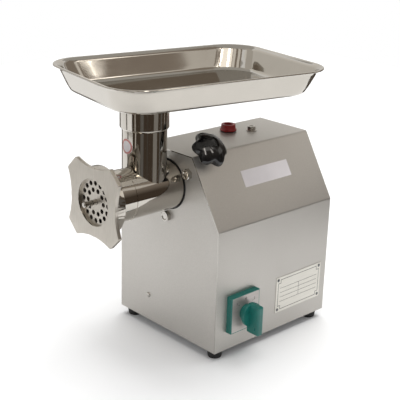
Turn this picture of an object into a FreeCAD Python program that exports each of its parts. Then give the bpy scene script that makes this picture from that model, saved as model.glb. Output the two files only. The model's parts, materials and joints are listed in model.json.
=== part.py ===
import FreeCAD, Part
import math
import operator
import os
import Sketcher

# An electric meat grinder: a bent sheet casing on rubber feet holds a motor and a two-stage gearbox,
# which turn the worm of a polished grinder head with a feed tray on its throat.
# X runs along the worm from the ring nut at -X, the control face is at -Y, and Z is up.
# The origin lies on the bench, under the middle of the casing.

# Driving dimensions in millimetres, with tooth counts and one angle in degrees
SIZES = {
    # Sheet casing
    "case_length": 212,
    "case_depth": 191,
    "case_height": 251,
    "wall_height": 166,
    "top_width": 89,
    "sheet": 1.2,
    "bend_radius": 4,
    "seam_gap": 0.1,
    "panel_flange": 10,
    "base_lip": 12,
    "vent_length": 60,
    "vent_width": 5,
    "vent_pitch": 12,
    # Feet and their screws
    "foot_height": 12,
    "foot_radius": 10,
    "foot_taper": 1.2,
    "foot_inset": 13.7,
    "foot_recess_radius": 5,
    "foot_recess_depth": 5,
    "foot_screw_radius": 2,
    "foot_screw_grip": 6,
    # Worm axis below the casing's top
    "axis_drop": 45,
    # Grinder head
    "barrel_radius": 32,
    "barrel_bore": 26,
    "barrel_wall": 8,
    "nose_radius": 39.5,
    "nose_length": 11,
    "nose_cone": 4,
    "seam_distance": 28,
    "seam_width": 1.6,
    "seam_rise": 0.5,
    "head_reach": 119,
    "throat_distance": 39.4,
    "throat_radius": 28,
    "throat_bore": 24.5,
    "throat_height": 119.3,
    "port_radius": 21,
    "port_height": 34,
    "slip_gap": 0.3,
    "running_gap": 0.05,
    "face_gap": 0.2,
    # Feed tray
    "tray_length": 303,
    "tray_width": 210,
    "tray_depth": 33,
    "tray_flare": 12,
    "tray_rim_corner": 40.5,
    "tray_floor_corner": 40,
    "tray_bottom_round": 9,
    "tray_sheet": 1,
    "tray_lip": 5,
    "tray_hem": 2,
    "tray_hole_offset": 63,
    "tray_yaw": -9.8,
    "skirt_height": 39,
    "skirt_wall": 2.3,
    "skirt_bevel": 1.6,
    "skirt_edge": 0.8,
    # Ring nut
    "ring_lip": 4.5,
    "ring_opening": 29.3,
    "ring_wall": 3.6,
    "ring_depth": 16,
    "arm_reach": 58.8,
    "arm_half_width": 11.8,
    "arm_dip": 43,
    "arm_thickness": 5,
    "arm_corner": 3,
    # Grinding plate
    "plate_radius": 35,
    "plate_thickness": 8,
    "plate_hole": 3,
    "plate_outer_ring": 23.5,
    "plate_outer_count": 16,
    "plate_inner_ring": 15,
    "plate_inner_count": 10,
    # Knife, worm and its pin
    "knife_radius": 24.5,
    "knife_blade": 9,
    "knife_hub": 11,
    "knife_thickness": 10,
    "square_side": 11,
    "worm_radius": 25.4,
    "worm_core_front": 13,
    "worm_core_rear": 10,
    "flight_pitch": 28,
    "flight_root": 8,
    "flight_tip": 4,
    "journal_radius": 11,
    "washer_radius": 20,
    "washer_thickness": 1,
    "tang_side": 15,
    "tang_length": 14,
    "pin_radius": 3.4,
    "pin_reach": 13.5,
    "pin_grip": 12,
    # Gearbox
    "socket_depth": 33,
    "neck_radius": 40,
    "lug_circle": 44,
    "lug_radius": 10,
    "lug_thickness": 6,
    "gear_wall": 5,
    "gear_clearance": 3,
    "chamber_distance": 112,
    "chamber_length": 46,
    "front_wall": 14,
    "cover_thickness": 6,
    "pedestal_width": 64,
    "pedestal_length": 40,
    "module_fast": 1.5,
    "teeth_motor": 16,
    "teeth_fast": 60,
    "fast_width": 12,
    "module_slow": 2,
    "teeth_slow_pinion": 16,
    "teeth_output": 34,
    "slow_width": 22,
    "backlash": 0.3,
    "output_shaft_radius": 12.5,
    "output_bearing_radius": 26,
    "output_bearing_width": 15,
    "hub_radius": 17,
    "hub_length": 18,
    "seal_radius": 24,
    "seal_width": 8,
    "small_shaft_radius": 8.5,
    "small_bearing_radius": 20,
    "small_bearing_width": 12,
    "cover_screw_radius": 1.5,
    "cover_screw_head": 2.4,
    # Motor
    "motor_radius": 60,
    "motor_wall": 3,
    "stack_length": 42,
    "shield_front": 18,
    "shield_rear": 30,
    "rotor_radius": 36,
    "air_gap": 0.5,
    "winding_inner": 40,
    "winding_outer": 50,
    "winding_length": 14,
    "tie_bolt_radius": 2,
    "tie_bolt_circle": 53.5,
    "tie_bolt_across": 7,
    "tie_bolt_head": 2,
    "fan_radius": 33,
    "fan_length": 8,
    "fan_hub_wall": 3,
    "fan_blades": 8,
    "fan_blade": 1.5,
    "fan_disc": 1.5,
    # Fasteners that show
    "flange_bolt_radius": 4,
    "flange_bolt_across": 13,
    "flange_bolt_head": 5.5,
    "earth_screw_radius": 2,
    "earth_screw_head": 3.6,
    "earth_screw_rise": 2,
    "earth_screw_tip": 0.6,
    "earth_nut_across": 7.2,
    "earth_nut_height": 3.2,
    "earth_screw_inset": 59.5,
    "earth_screw_height": 37,
    "top_bolt_radius": 3,
    "top_bolt_across": 10,
    "top_bolt_head": 5,
    "top_bolt_length": 16,
    "top_bolt_distance": 38,
    "top_washer_radius": 7,
    "top_washer_thickness": 1.2,
    # Seal ring round the barrel
    "neck_seal_width": 1.4,
    "neck_seal_proud": 0.8,
    # Lock screw
    "lock_distance": 20,
    "lock_stud_radius": 5,
    "lock_stud_length": 52,
    "lock_knob_start": 67,
    "lock_knob_height": 22,
    "lock_knob_hub": 17,
    "lock_lobe_radius": 7.5,
    "lock_lobe_circle": 16.5,
    "lock_dome_radius": 38,
    "lock_knob_edge": 3,
    "lock_shank_radius": 9,
    "lock_shank_height": 5,
    # Filler plug
    "plug_distance": 11,
    "plug_y": 18,
    "plug_flange_radius": 11.5,
    "plug_flange_height": 2,
    "plug_base_radius": 10.4,
    "plug_top_radius": 9.7,
    "plug_height": 9,
    "plug_recess_radius": 5.8,
    "plug_recess_depth": 5,
    "plug_thread_radius": 7,
    "plug_thread_length": 9,
    "plug_seal_height": 1,
    "plug_seal_radius": 9.5,
    "boss_wall": 4,
    # Rotary switch
    "switch_distance": 45,
    "switch_height": 50,
    "switch_side": 51,
    "switch_bezel": 8.5,
    "switch_edge": 1.2,
    "switch_face_side": 48,
    "switch_face": 0.8,
    "switch_body_side": 40,
    "switch_body_depth": 33,
    "switch_shaft_radius": 3,
    "knob_radius": 16,
    "knob_base": 4.5,
    "knob_hub": 11,
    "knob_stand": 8,
    "knob_bar_width": 9.5,
    "knob_bar_rise": 15,
    "knob_bar_up": 16,
    "knob_bar_down": 24.5,
    "knob_bar_round": 2.5,
    # Plates and stickers
    "rating_distance": 56,
    "rating_height": 49,
    "rating_length": 90,
    "rating_width": 51,
    "rating_thickness": 0.6,
    "rivet_inset": 4,
    "rivet_radius": 1.2,
    "rivet_head": 2.2,
    "rivet_rise": 0.8,
    "sticker_x": 6,
    "sticker_up_slope": 56.5,
    "sticker_length": 86,
    "sticker_width": 22,
    "sticker_thickness": 0.3,
    "disc_radius": 9.5,
    "disc_height": 61,
    # Wiring parts
    "capacitor_radius": 17,
    "capacitor_length": 70,
    "capacitor_distance": 51,
    "capacitor_inset": 27.5,
    "clamp_band": 1.2,
    "clamp_width": 14,
    "clamp_foot": 14,
    "terminal_length": 44,
    "terminal_width": 16,
    "terminal_height": 18,
    "terminal_well": 3.2,
    "terminal_inset": 28,
    "terminal_step": 30,
    "gland_inset": 35.5,
    "gland_height": 34,
    "gland_radius": 8,
    "gland_across": 24,
    "gland_flange": 6,
    "gland_nose": 12,
    "gland_bore": 4.5,
}

doc = FreeCAD.newDocument("meat_grinder")
sheet = doc.addObject("Spreadsheet::Sheet", "Sizes")


# Sizes that carry their sheet expression
class Size:
    """A number together with the sheet expression that gives it."""

    def __init__(self, value, text):
        self.value = value
        self.text = text

    def __float__(self):
        return float(self.value)

    def __add__(self, other):
        return joined(self, "+", other)

    def __radd__(self, other):
        return joined(other, "+", self)

    def __sub__(self, other):
        return joined(self, "-", other)

    def __rsub__(self, other):
        return joined(other, "-", self)

    def __mul__(self, other):
        return joined(self, "*", other)

    def __rmul__(self, other):
        return joined(other, "*", self)

    def __truediv__(self, other):
        return joined(self, "/", other)

    def __neg__(self):
        return joined(0, "-", self)


OPERATIONS = {"+": operator.add, "-": operator.sub, "*": operator.mul, "/": operator.truediv}


def text_of(value):
    return value.text if isinstance(value, Size) else f"{float(value):.9f}"


def joined(left, sign, right):
    value = OPERATIONS[sign](float(left), float(right))
    return Size(value, f"({text_of(left)} {sign} {text_of(right)})")


def root(value):
    return Size(math.sqrt(float(value)), f"sqrt({value.text})")


def arc_tangent(value):
    return Size(math.degrees(math.atan(float(value))), f"atan({value.text})")


class Named:
    """The driving dimensions, one attribute each."""


S = Named()
for row, (alias, value) in enumerate(SIZES.items(), 1):
    sheet.set(f"A{row}", alias)
    sheet.set(f"B{row}", str(value))
    sheet.setAlias(f"B{row}", alias)
    setattr(S, alias, Size(value, f"Sizes.{alias}"))
doc.recompute()

# Where things lie, worked out from the driving dimensions
case_bottom = S.foot_height
case_top = case_bottom + S.case_height
knee_z = case_bottom + S.wall_height
inner_top = case_top - S.sheet
head_face = -S.case_length / 2
rear_face = S.case_length / 2
front_face = -S.case_depth / 2
base_top = case_bottom + S.sheet
axis_z = case_top - S.axis_drop
slope_run = (S.case_depth - S.top_width) / 2
slope_rise = S.case_height - S.wall_height
slope_length = root(slope_run * slope_run + slope_rise * slope_rise)

ring_face = head_face - S.head_reach
plate_front = ring_face + S.ring_lip
plate_back = plate_front + S.plate_thickness
knife_front = plate_back + S.face_gap
knife_back = knife_front + S.knife_thickness
nose_back = plate_front + S.nose_length
neck_start = head_face + S.sheet
socket_bottom = neck_start + S.socket_depth
bore_end = socket_bottom - S.barrel_wall
washer_front = bore_end - S.washer_thickness
throat_x = head_face - S.throat_distance
tray_z = axis_z + S.throat_height

hub_start = socket_bottom + S.face_gap
hub_end = hub_start + S.hub_length
chamber_front = head_face + S.chamber_distance
chamber_end = chamber_front + S.chamber_length
wall_start = chamber_front - S.front_wall
output_gear_start = chamber_front + S.gear_clearance
output_gear_end = output_gear_start + S.slow_width
fast_gear_start = output_gear_end + S.gear_clearance
slow_distance = S.module_slow * (S.teeth_slow_pinion + S.teeth_output) / 2
fast_distance = S.module_fast * (S.teeth_motor + S.teeth_fast) / 2
middle_z = axis_z - slow_distance
motor_z = middle_z - fast_distance
top_case_radius = S.axis_drop - S.sheet - S.slip_gap
middle_case_radius = S.module_fast * (S.teeth_fast / 2 + 1) + S.gear_clearance + S.gear_wall
low_case_radius = S.small_bearing_radius + 2 * S.gear_wall

stack_end = wall_start - S.shield_front
stack_start = stack_end - S.stack_length
motor_start = stack_start - S.shield_rear
rear_bearing = motor_start + 2 * S.motor_wall
switch_z = case_bottom + S.switch_height
rating_z = case_bottom + S.rating_height
switch_x = head_face + S.switch_distance
rating_x = rear_face - S.rating_distance
lock_x = head_face + S.lock_distance
plug_x = chamber_front + S.plug_distance
top_bolt_x = chamber_front + S.top_bolt_distance
capacitor_x = head_face + S.capacitor_distance
capacitor_y = S.case_depth / 2 - S.capacitor_inset
terminal_x = rear_face - S.terminal_inset

TURN = {
    "x": FreeCAD.Rotation(FreeCAD.Vector(1, 1, 1), 120),
    "-x": FreeCAD.Rotation(FreeCAD.Vector(0, 1, 0), -90),
    "-y": FreeCAD.Rotation(FreeCAD.Vector(1, 0, 0), 90),
    "z": FreeCAD.Rotation(),
    "-z": FreeCAD.Rotation(FreeCAD.Vector(1, 0, 0), 180),
    "lock": FreeCAD.Rotation(FreeCAD.Vector(1, 0, 0), 45),
}
QUARTER = math.sqrt(0.5)
PRESSURE_ANGLE = math.radians(20)
DEDENDUM = 1.25
ROUND_STEPS = 5
NODES = []


# Helpers that make document objects driven by the sheet
def drive(item, path, value):
    """Set a property, and bind it to the sheet where the value comes from there."""
    if isinstance(value, Size):
        item.setExpression(path, value.text)
    elif "." in path:
        item.setExpression(path, text_of(value))
    else:
        setattr(item, path, value)


def place(item, at, turn="z"):
    item.Placement = FreeCAD.Placement(FreeCAD.Vector(*[float(part) for part in at]), TURN[turn])
    for letter, part in zip("xyz", at):
        drive(item, f"Placement.Base.{letter}", part)
    return item


def node(label, item):
    item.Label = label
    NODES.append(item)
    return item


def box(low, high):
    block = doc.addObject("Part::Box", "block")
    for side, first, last in zip(("Length", "Width", "Height"), low, high):
        drive(block, side, last - first)
    return place(block, low)


def rod(radius, at, length, turn="x"):
    cylinder = doc.addObject("Part::Cylinder", "rod")
    drive(cylinder, "Radius", radius)
    drive(cylinder, "Height", length)
    return place(cylinder, at, turn)


def cone(first, last, at, length, turn="x"):
    taper = doc.addObject("Part::Cone", "taper")
    drive(taper, "Radius1", first)
    drive(taper, "Radius2", last)
    drive(taper, "Height", length)
    return place(taper, at, turn)


def hexagon(across, at, length, turn="x"):
    prism = doc.addObject("Part::Prism", "hexagon")
    prism.Polygon = 6
    drive(prism, "Circumradius", across / math.sqrt(3))
    drive(prism, "Height", length)
    return place(prism, at, turn)


def square_bar(side, at, length):
    """A bar along X, centred on the line through at."""
    x, y, z = at
    return box((x, y - side / 2, z - side / 2), (x + length, y + side / 2, z + side / 2))


def fuse(*shapes):
    union = doc.addObject("Part::MultiFuse", "union")
    union.Shapes = list(shapes)
    return union


def cut(base, *tools):
    rest = base
    for tool in tools:
        step = doc.addObject("Part::Cut", "rest")
        step.Base = rest
        step.Tool = tool
        rest = step
    return rest


def common(base, tool):
    shared = doc.addObject("Part::Common", "shared")
    shared.Base = base
    shared.Tool = tool
    return shared


def group(solids):
    cluster = doc.addObject("Part::Compound", "cluster")
    cluster.Links = list(solids)
    return cluster


def tube(outer, inner, at, length, turn="x"):
    return cut(rod(outer, at, length, turn), rod(inner, at, length, turn))


def rounded(item, radius, wanted):
    """Round the edges of an item that the test function picks."""
    doc.recompute()
    fillet = doc.addObject("Part::Fillet", "rounded")
    fillet.Base = item
    edges = enumerate(item.Shape.Edges, 1)
    fillet.Edges = [(index, float(radius), float(radius)) for index, edge in edges if wanted(edge)]
    return fillet


def spot(edge):
    return edge.CenterOfMass


def sketch_on(body, role, offset=0):
    plane = next(item for item in body.Origin.OriginFeatures if item.Role == role)
    sketch = body.newObject("Sketcher::SketchObject", "outline")
    sketch.AttachmentSupport = [(plane, "")]
    sketch.MapMode = "FlatFace"
    drive(sketch, "AttachmentOffset.Base.z", offset)
    return sketch


def pin_point(sketch, curve, end, point):
    """Hold one point of a sketch curve at a place given by the sheet."""
    for kind, value in zip(("DistanceX", "DistanceY"), point):
        index = sketch.addConstraint(Sketcher.Constraint(kind, -1, 1, curve, end, float(value)))
        bind_datum(sketch, index, value)


def bind_datum(sketch, index, value):
    name = f"datum{index}"
    sketch.renameConstraint(index, name)
    if isinstance(value, Size):
        sketch.setExpression(f"Constraints.{name}", value.text)


def draw_polygon(sketch, points):
    first = sketch.GeometryCount
    flat = [FreeCAD.Vector(float(x), float(y), 0) for x, y in points]
    for start, end in zip(flat, flat[1:] + flat[:1]):
        sketch.addGeometry(Part.LineSegment(start, end))
    for step in range(len(points)):
        following = first + (step + 1) % len(points)
        sketch.addConstraint(Sketcher.Constraint("Coincident", first + step, 2, following, 1))
        pin_point(sketch, first + step, 1, points[step])


def draw_rounded(sketch, middle, half_length, half_width, radius):
    """A rectangle with round corners about a middle point on the sketch's first axis."""
    first = sketch.GeometryCount
    reach = (half_length - radius, half_width - radius)
    corners = [(middle + a * reach[0], b * reach[1]) for a, b in ((1, -1), (1, 1), (-1, 1), (-1, -1))]
    arcs = []
    for step, corner in enumerate(corners):
        centre = FreeCAD.Vector(float(corner[0]), float(corner[1]), 0)
        circle = Part.Circle(centre, FreeCAD.Vector(0, 0, 1), float(radius))
        arcs.append(Part.ArcOfCircle(circle, (step - 1) * math.pi / 2, step * math.pi / 2))
        sketch.addGeometry(arcs[step])
    for step in range(4):
        sketch.addGeometry(Part.LineSegment(arcs[step].EndPoint, arcs[(step + 1) % 4].StartPoint))
    for step, corner in enumerate(corners):
        pin_point(sketch, first + step, 3, corner)
        index = sketch.addConstraint(Sketcher.Constraint("Radius", first + step, float(radius)))
        bind_datum(sketch, index, radius)
    for step in range(4):
        line = first + 4 + step
        sketch.addConstraint(Sketcher.Constraint("Tangent", first + step, 2, line, 1))
        sketch.addConstraint(Sketcher.Constraint("Tangent", line, 2, first + (step + 1) % 4, 1))


def draw_circle(sketch, centre, radius):
    middle = FreeCAD.Vector(float(centre[0]), float(centre[1]), 0)
    curve = sketch.addGeometry(Part.Circle(middle, FreeCAD.Vector(0, 0, 1), float(radius)))
    pin_point(sketch, curve, 3, centre)
    index = sketch.addConstraint(Sketcher.Constraint("Radius", curve, float(radius)))
    bind_datum(sketch, index, radius)


def pad(body, role, offset, length, polygons=(), circles=()):
    sketch = sketch_on(body, role, offset)
    for points in polygons:
        draw_polygon(sketch, points)
    for centre, radius in circles:
        draw_circle(sketch, centre, radius)
    feature = body.newObject("PartDesign::Pad", "pad")
    feature.Profile = sketch
    drive(feature, "Length", length)
    return feature


def new_body():
    return doc.addObject("PartDesign::Body", "body")


def turned(points, at, turn="z"):
    """A piece turned about its own Z: points are radius and height, from the axis round."""
    body = new_body()
    sketch = sketch_on(body, "XZ_Plane")
    draw_polygon(sketch, points)
    feature = body.newObject("PartDesign::Revolution", "turned")
    feature.Profile = sketch
    feature.ReferenceAxis = (next(a for a in body.Origin.OriginFeatures if a.Role == "Z_Axis"), [""])
    feature.Angle = 360
    return place(body, at, turn)


def fillet_edges(body, radius, wanted):
    doc.recompute()
    base = body.Tip
    names = [f"Edge{index}" for index, edge in enumerate(base.Shape.Edges, 1) if wanted(edge)]
    feature = body.newObject("PartDesign::Fillet", "fillet")
    feature.Base = (base, names)
    drive(feature, "Radius", radius)


def polar(count, radius, start=0.0):
    """Points spread evenly on a circle, from an angle in degrees."""
    steps = int(float(count))
    angles = [math.radians(start + 360.0 * step / steps) for step in range(steps)]
    return [(radius * math.cos(angle), radius * math.sin(angle)) for angle in angles]


# Casing
def casing_corners(inset):
    """Corners of the casing's end view, from the front foot round to the back, moved inwards."""
    half = S.case_depth / 2 - inset
    knee = knee_z - inset * (slope_length - slope_rise) / slope_run
    ridge = S.top_width / 2 - inset * (slope_length - slope_run) / slope_rise
    front = [(-half, case_bottom), (-half, knee), (-ridge, case_top - inset)]
    return front + [(-y, z) for y, z in reversed(front)]


def casing_strip(inset):
    """The closed end view of a bent strip, one sheet thick."""
    return casing_corners(inset) + casing_corners(inset + S.sheet)[::-1]


def at_corners(edge, corners):
    """Tell whether an edge along X passes through one of the given corners."""
    middle = spot(edge)
    if abs(edge.tangentAt(edge.FirstParameter).x) < 0.9:
        return False
    return any(math.hypot(middle.y - float(y), middle.z - float(z)) < 0.01 for y, z in corners)


def make_casing_wrap():
    body = new_body()
    pad(body, "YZ_Plane", head_face, S.case_length, [casing_strip(0)])
    outer = casing_corners(0)[1:5]
    inner = casing_corners(S.sheet)[1:5]
    fillet_edges(body, S.bend_radius, lambda edge: at_corners(edge, outer))
    fillet_edges(body, S.bend_radius - S.sheet, lambda edge: at_corners(edge, inner))
    lock_hole = rod(S.lock_stud_radius + 2 * S.sheet, (lock_x, 0, axis_z), S.axis_drop * 2, "lock")
    plug_hole = rod(S.plug_thread_radius + S.slip_gap, (plug_x, S.plug_y, axis_z), S.axis_drop * 2, "z")
    bolt_hole = rod(S.top_bolt_radius + S.slip_gap, (top_bolt_x, 0, axis_z), S.axis_drop * 2, "z")
    half = S.switch_body_side / 2 + S.seam_gap
    switch_hole = box(
        (switch_x - half, front_face - S.sheet, switch_z - half),
        (switch_x + half, front_face + 2 * S.sheet, switch_z + half),
    )
    rivets = [rod(S.rivet_radius, at, S.sheet * 3, "-y") for at in rivet_points(front_face + 2 * S.sheet)]
    node("casing_wrap", cut(body, lock_hole, plug_hole, bolt_hole, switch_hole, *rivets))


def lug_points():
    """Places of the three flange bolts round the worm axis: one below and two above."""
    return [(y, axis_z + z) for y, z in polar(3, S.lug_circle, -90.0)]


def gland_spot():
    return S.case_depth / 2 - S.gland_inset, case_bottom + S.gland_height


def earth_spot():
    return S.case_depth / 2 - S.earth_screw_inset, case_bottom + S.earth_screw_height


def make_end_panels():
    inset = S.sheet + S.seam_gap
    face = casing_corners(inset)
    head = new_body()
    bolts = [(at, S.flange_bolt_radius + S.slip_gap) for at in lug_points()]
    neck = ((0, axis_z), S.barrel_radius + S.slip_gap + S.neck_seal_width)
    earth = (earth_spot(), S.earth_screw_radius + S.seam_gap)
    pad(head, "YZ_Plane", head_face, S.sheet, [face], bolts + [neck, earth])
    pad(head, "YZ_Plane", neck_start, S.panel_flange, [casing_strip(inset)])
    fillet_edges(head, S.bend_radius - inset, lambda edge: at_corners(edge, face[1:5]))
    node("head_end_panel", head)

    rear = new_body()
    flange_start = rear_face - S.sheet - S.panel_flange
    half = S.vent_length / 2
    slots = []
    for step in range(-3, 4):
        low = motor_z + step * S.vent_pitch - S.vent_width / 2
        high = low + S.vent_width
        slots.append([(-half, low), (half, low), (half, high), (-half, high)])
    gland = (gland_spot(), S.gland_radius + S.seam_gap)
    pad(rear, "YZ_Plane", rear_face - S.sheet, S.sheet, [face] + slots, [gland])
    pad(rear, "YZ_Plane", flange_start, S.panel_flange, [casing_strip(inset)])
    fillet_edges(rear, S.bend_radius - inset, lambda edge: at_corners(edge, face[1:5]))
    node("rear_end_panel", rear)


def foot_points():
    x = S.case_length / 2 - S.foot_inset
    y = S.case_depth / 2 - S.foot_inset
    return [(-x, -y), (x, -y), (x, y), (-x, y)]


def make_base_plate():
    x = S.case_length / 2 - S.sheet - S.seam_gap
    y = S.case_depth / 2 - 2 * (S.sheet + S.seam_gap)
    outer = box((-x, -y, case_bottom), (x, y, case_bottom + S.base_lip))
    inside_x = x - S.sheet
    inside_y = y - S.sheet
    inner = box((-inside_x, -inside_y, base_top), (inside_x, inside_y, case_bottom + 2 * S.base_lip))
    drilled = [
        rod(S.foot_screw_radius + S.seam_gap, (px, py, 0), 2 * case_bottom, "z") for px, py in foot_points()
    ]
    half = S.vent_length / 2
    vents = []
    for step in range(-2, 3):
        low = stack_start + step * S.vent_pitch
        vents.append(box((low, -half, 0), (low + S.vent_width, half, 2 * case_bottom)))
    node("base_plate", cut(outer, inner, *drilled, *vents))


def make_feet():
    feet = []
    screws = []
    bore = S.foot_screw_radius + S.seam_gap
    bottom = S.foot_radius - S.foot_taper
    head = S.foot_recess_radius - S.slip_gap
    for x, y in foot_points():
        outline = [
            (S.foot_recess_radius, 0),
            (bottom, 0),
            (S.foot_radius, S.foot_height),
            (bore, S.foot_height),
            (bore, S.foot_recess_depth),
            (S.foot_recess_radius, S.foot_recess_depth),
        ]
        feet.append(turned(outline, (x, y, 0)))
        length = S.foot_height + S.foot_screw_grip - S.foot_recess_depth
        shank = rod(S.foot_screw_radius, (x, y, S.foot_recess_depth), length, "z")
        cap = rod(head, (x, y, S.foot_recess_depth / 2), S.foot_recess_depth / 2, "z")
        screws.append(fuse(shank, cap))
    node("rubber_feet", group(feet))
    node("foot_screws", group(screws))


# Gearbox
def case_outline(start, length, shrink):
    """The gear case seen along X: a round for each of the three shafts."""
    return [
        rod(top_case_radius - shrink, (start, 0, axis_z), length),
        rod(middle_case_radius - shrink, (start, 0, middle_z), length),
        rod(low_case_radius - shrink, (start, 0, motor_z), length),
    ]


def make_gearbox():
    solid = case_outline(wall_start, chamber_end - wall_start, 0)
    solid.append(rod(S.neck_radius, (neck_start, 0, axis_z), wall_start - neck_start))
    solid.append(rod(S.motor_radius, (wall_start, 0, motor_z), S.front_wall))
    for y, z in lug_points():
        solid.append(rod(S.lug_radius, (neck_start, y, z), S.lug_thickness))
    half = S.pedestal_width / 2
    pedestal_end = chamber_front + S.pedestal_length
    solid.append(box((chamber_front, -half, base_top), (pedestal_end, half, motor_z)))
    plug_boss = S.plug_thread_radius + S.boss_wall
    bolt_boss = S.top_bolt_radius + S.boss_wall
    solid.append(rod(plug_boss, (plug_x, S.plug_y, axis_z), inner_top - axis_z, "z"))
    solid.append(rod(bolt_boss, (top_bolt_x, 0, axis_z), inner_top - axis_z, "z"))

    hollow = case_outline(chamber_front, S.chamber_length, S.gear_wall)
    inside = half - S.gear_wall
    hollow.append(box(
        (chamber_front + S.gear_wall, -inside, base_top),
        (pedestal_end - S.gear_wall, inside, motor_z - low_case_radius),
    ))
    hollow.append(rod(S.barrel_radius + S.running_gap, (neck_start, 0, axis_z), S.socket_depth))
    hollow.append(rod(S.seal_radius, (socket_bottom, 0, axis_z), S.hub_length + S.face_gap))
    hollow.append(rod(S.output_bearing_radius, (hub_end, 0, axis_z), chamber_front - hub_end))
    hollow.append(rod(S.small_bearing_radius, (chamber_front - S.small_bearing_width, 0, middle_z),
                      S.small_bearing_width))
    hollow.append(rod(S.small_bearing_radius, (wall_start, 0, motor_z), S.small_bearing_width))
    hollow.append(rod(S.small_shaft_radius + S.slip_gap, (wall_start, 0, motor_z), S.front_wall))
    hollow.append(rod(S.plug_thread_radius + S.running_gap, (plug_x, S.plug_y, axis_z), S.axis_drop, "z"))
    hollow.append(rod(S.top_bolt_radius, (top_bolt_x, 0, axis_z), S.axis_drop, "z"))
    hollow.append(rod(S.lock_stud_radius + S.running_gap, (lock_x, 0, axis_z), S.axis_drop * 2, "lock"))
    for y, z in lug_points():
        hollow.append(rod(S.flange_bolt_radius, (neck_start, y, z), S.lug_thickness))
    for y, z in cover_screw_points():
        hollow.append(rod(S.cover_screw_radius, (chamber_end - S.gear_wall, y, z), S.gear_wall))
    node("gearbox_housing", cut(fuse(*solid), *hollow))


def cover_screw_points():
    """Screws on the rim of the gear case, clear of the shafts."""
    ring = middle_case_radius - S.gear_wall / 2
    angles = [math.radians(angle) for angle in (-35, 0, 25)]
    side = [(ring * math.cos(angle), middle_z + ring * math.sin(angle)) for angle in angles]
    return side + [(-y, z) for y, z in side]


def make_gearbox_cover():
    plate = case_outline(chamber_end, S.cover_thickness, 0)
    boss_length = S.small_bearing_width + S.gear_wall
    plate.append(rod(S.small_bearing_radius + S.gear_wall, (chamber_end, 0, middle_z), boss_length))
    pocket = rod(S.small_bearing_radius, (chamber_end, 0, middle_z), S.small_bearing_width)
    holes = []
    screws = []
    for y, z in cover_screw_points():
        holes.append(rod(S.cover_screw_radius, (chamber_end, y, z), S.cover_thickness))
        shank = rod(S.cover_screw_radius, (chamber_end - S.gear_wall, y, z), S.gear_wall + S.cover_thickness)
        cap = rod(S.cover_screw_head, (chamber_end + S.cover_thickness, y, z), S.cover_screw_radius)
        screws.append(fuse(shank, cap))
    node("gearbox_cover", cut(fuse(*plate), pocket, *holes))
    node("gearbox_cover_screws", group(screws))


def gear_outline(teeth, module, tooth_at):
    """Closed wire of an involute spur gear with one tooth centred at an angle in degrees."""
    pitch_radius = teeth * module / 2
    base_radius = pitch_radius * math.cos(PRESSURE_ANGLE)
    tip_radius = pitch_radius + module
    root_radius = pitch_radius - DEDENDUM * module
    half_at_pitch = (math.pi * module / 2 - float(S.backlash)) / (2 * pitch_radius)

    def half_angle(radius):
        slant = math.acos(min(1.0, base_radius / radius))
        return half_at_pitch + math.tan(PRESSURE_ANGLE) - PRESSURE_ANGLE - (math.tan(slant) - slant)

    def point(radius, angle):
        return FreeCAD.Vector(radius * math.cos(angle), radius * math.sin(angle), 0)

    low = max(base_radius, root_radius)
    middle = (low + tip_radius) / 2
    edges = []
    step = 2 * math.pi / teeth
    for index in range(teeth):
        centre = math.radians(tooth_at) + index * step
        right = [point(radius, centre - half_angle(radius)) for radius in (low, middle, tip_radius)]
        left = [point(radius, centre + half_angle(radius)) for radius in (tip_radius, middle, low)]
        foot_right = point(root_radius, centre - half_angle(low))
        foot_left = point(root_radius, centre + half_angle(low))
        next_foot = point(root_radius, centre + step - half_angle(low))
        if low > root_radius:
            edges.append(Part.LineSegment(foot_right, right[0]).toShape())
        edges.append(Part.Arc(*right).toShape())
        edges.append(Part.Arc(right[2], point(tip_radius, centre), left[0]).toShape())
        edges.append(Part.Arc(*left).toShape())
        if low > root_radius:
            edges.append(Part.LineSegment(left[2], foot_left).toShape())
        edges.append(Part.Arc(foot_left, point(root_radius, centre + step / 2), next_foot).toShape())
    return Part.Wire(edges)


def gear(teeth, module, width, bore, at, tooth_at):
    wheel = Part.Face(gear_outline(int(float(teeth)), float(module), tooth_at))
    solid = wheel.extrude(FreeCAD.Vector(0, 0, float(width)))
    if bore is not None:
        solid = solid.cut(Part.makeCylinder(float(bore), float(width)))
    feature = doc.addObject("Part::Feature", "gear")
    feature.Shape = solid
    return place(feature, at, "x")


def bearing(outer, inner, width, x, z):
    """A ball bearing as a ring with a groove turned in each face, running on its shaft."""
    lip = (outer - inner) / 4
    groove = width / 10
    bore = inner + S.running_gap
    outline = [
        (bore, 0),
        (bore + lip, 0),
        (bore + lip, groove),
        (outer - lip, groove),
        (outer - lip, 0),
        (outer, 0),
        (outer, width),
        (outer - lip, width),
        (outer - lip, width - groove),
        (bore + lip, width - groove),
        (bore + lip, width),
        (bore, width),
    ]
    return turned(outline, (x, 0, z), "x")


def make_output_drive():
    hub = rod(S.hub_radius, (hub_start, 0, axis_z), S.hub_length - S.face_gap)
    shaft = rod(S.output_shaft_radius, (hub_start, 0, axis_z), output_gear_end - hub_start)
    socket = square_bar(S.tang_side + 2 * S.face_gap, (hub_start, 0, axis_z), S.tang_length + S.face_gap)
    node("output_shaft", cut(fuse(hub, shaft), socket))
    tooth_gap = -90.0 + 180.0 / float(S.teeth_output)
    node("output_gear", gear(S.teeth_output, S.module_slow, S.slow_width, S.output_shaft_radius,
                             (output_gear_start, 0, axis_z), tooth_gap))
    width = S.output_bearing_width
    ends = (hub_end, chamber_front - width)
    node("output_bearings", group(
        bearing(S.output_bearing_radius, S.output_shaft_radius, width, x, axis_z) for x in ends))
    seal_bore = S.hub_radius + S.running_gap
    node("oil_seal", tube(S.seal_radius, seal_bore, (hub_end - S.seal_width, 0, axis_z), S.seal_width))


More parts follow.
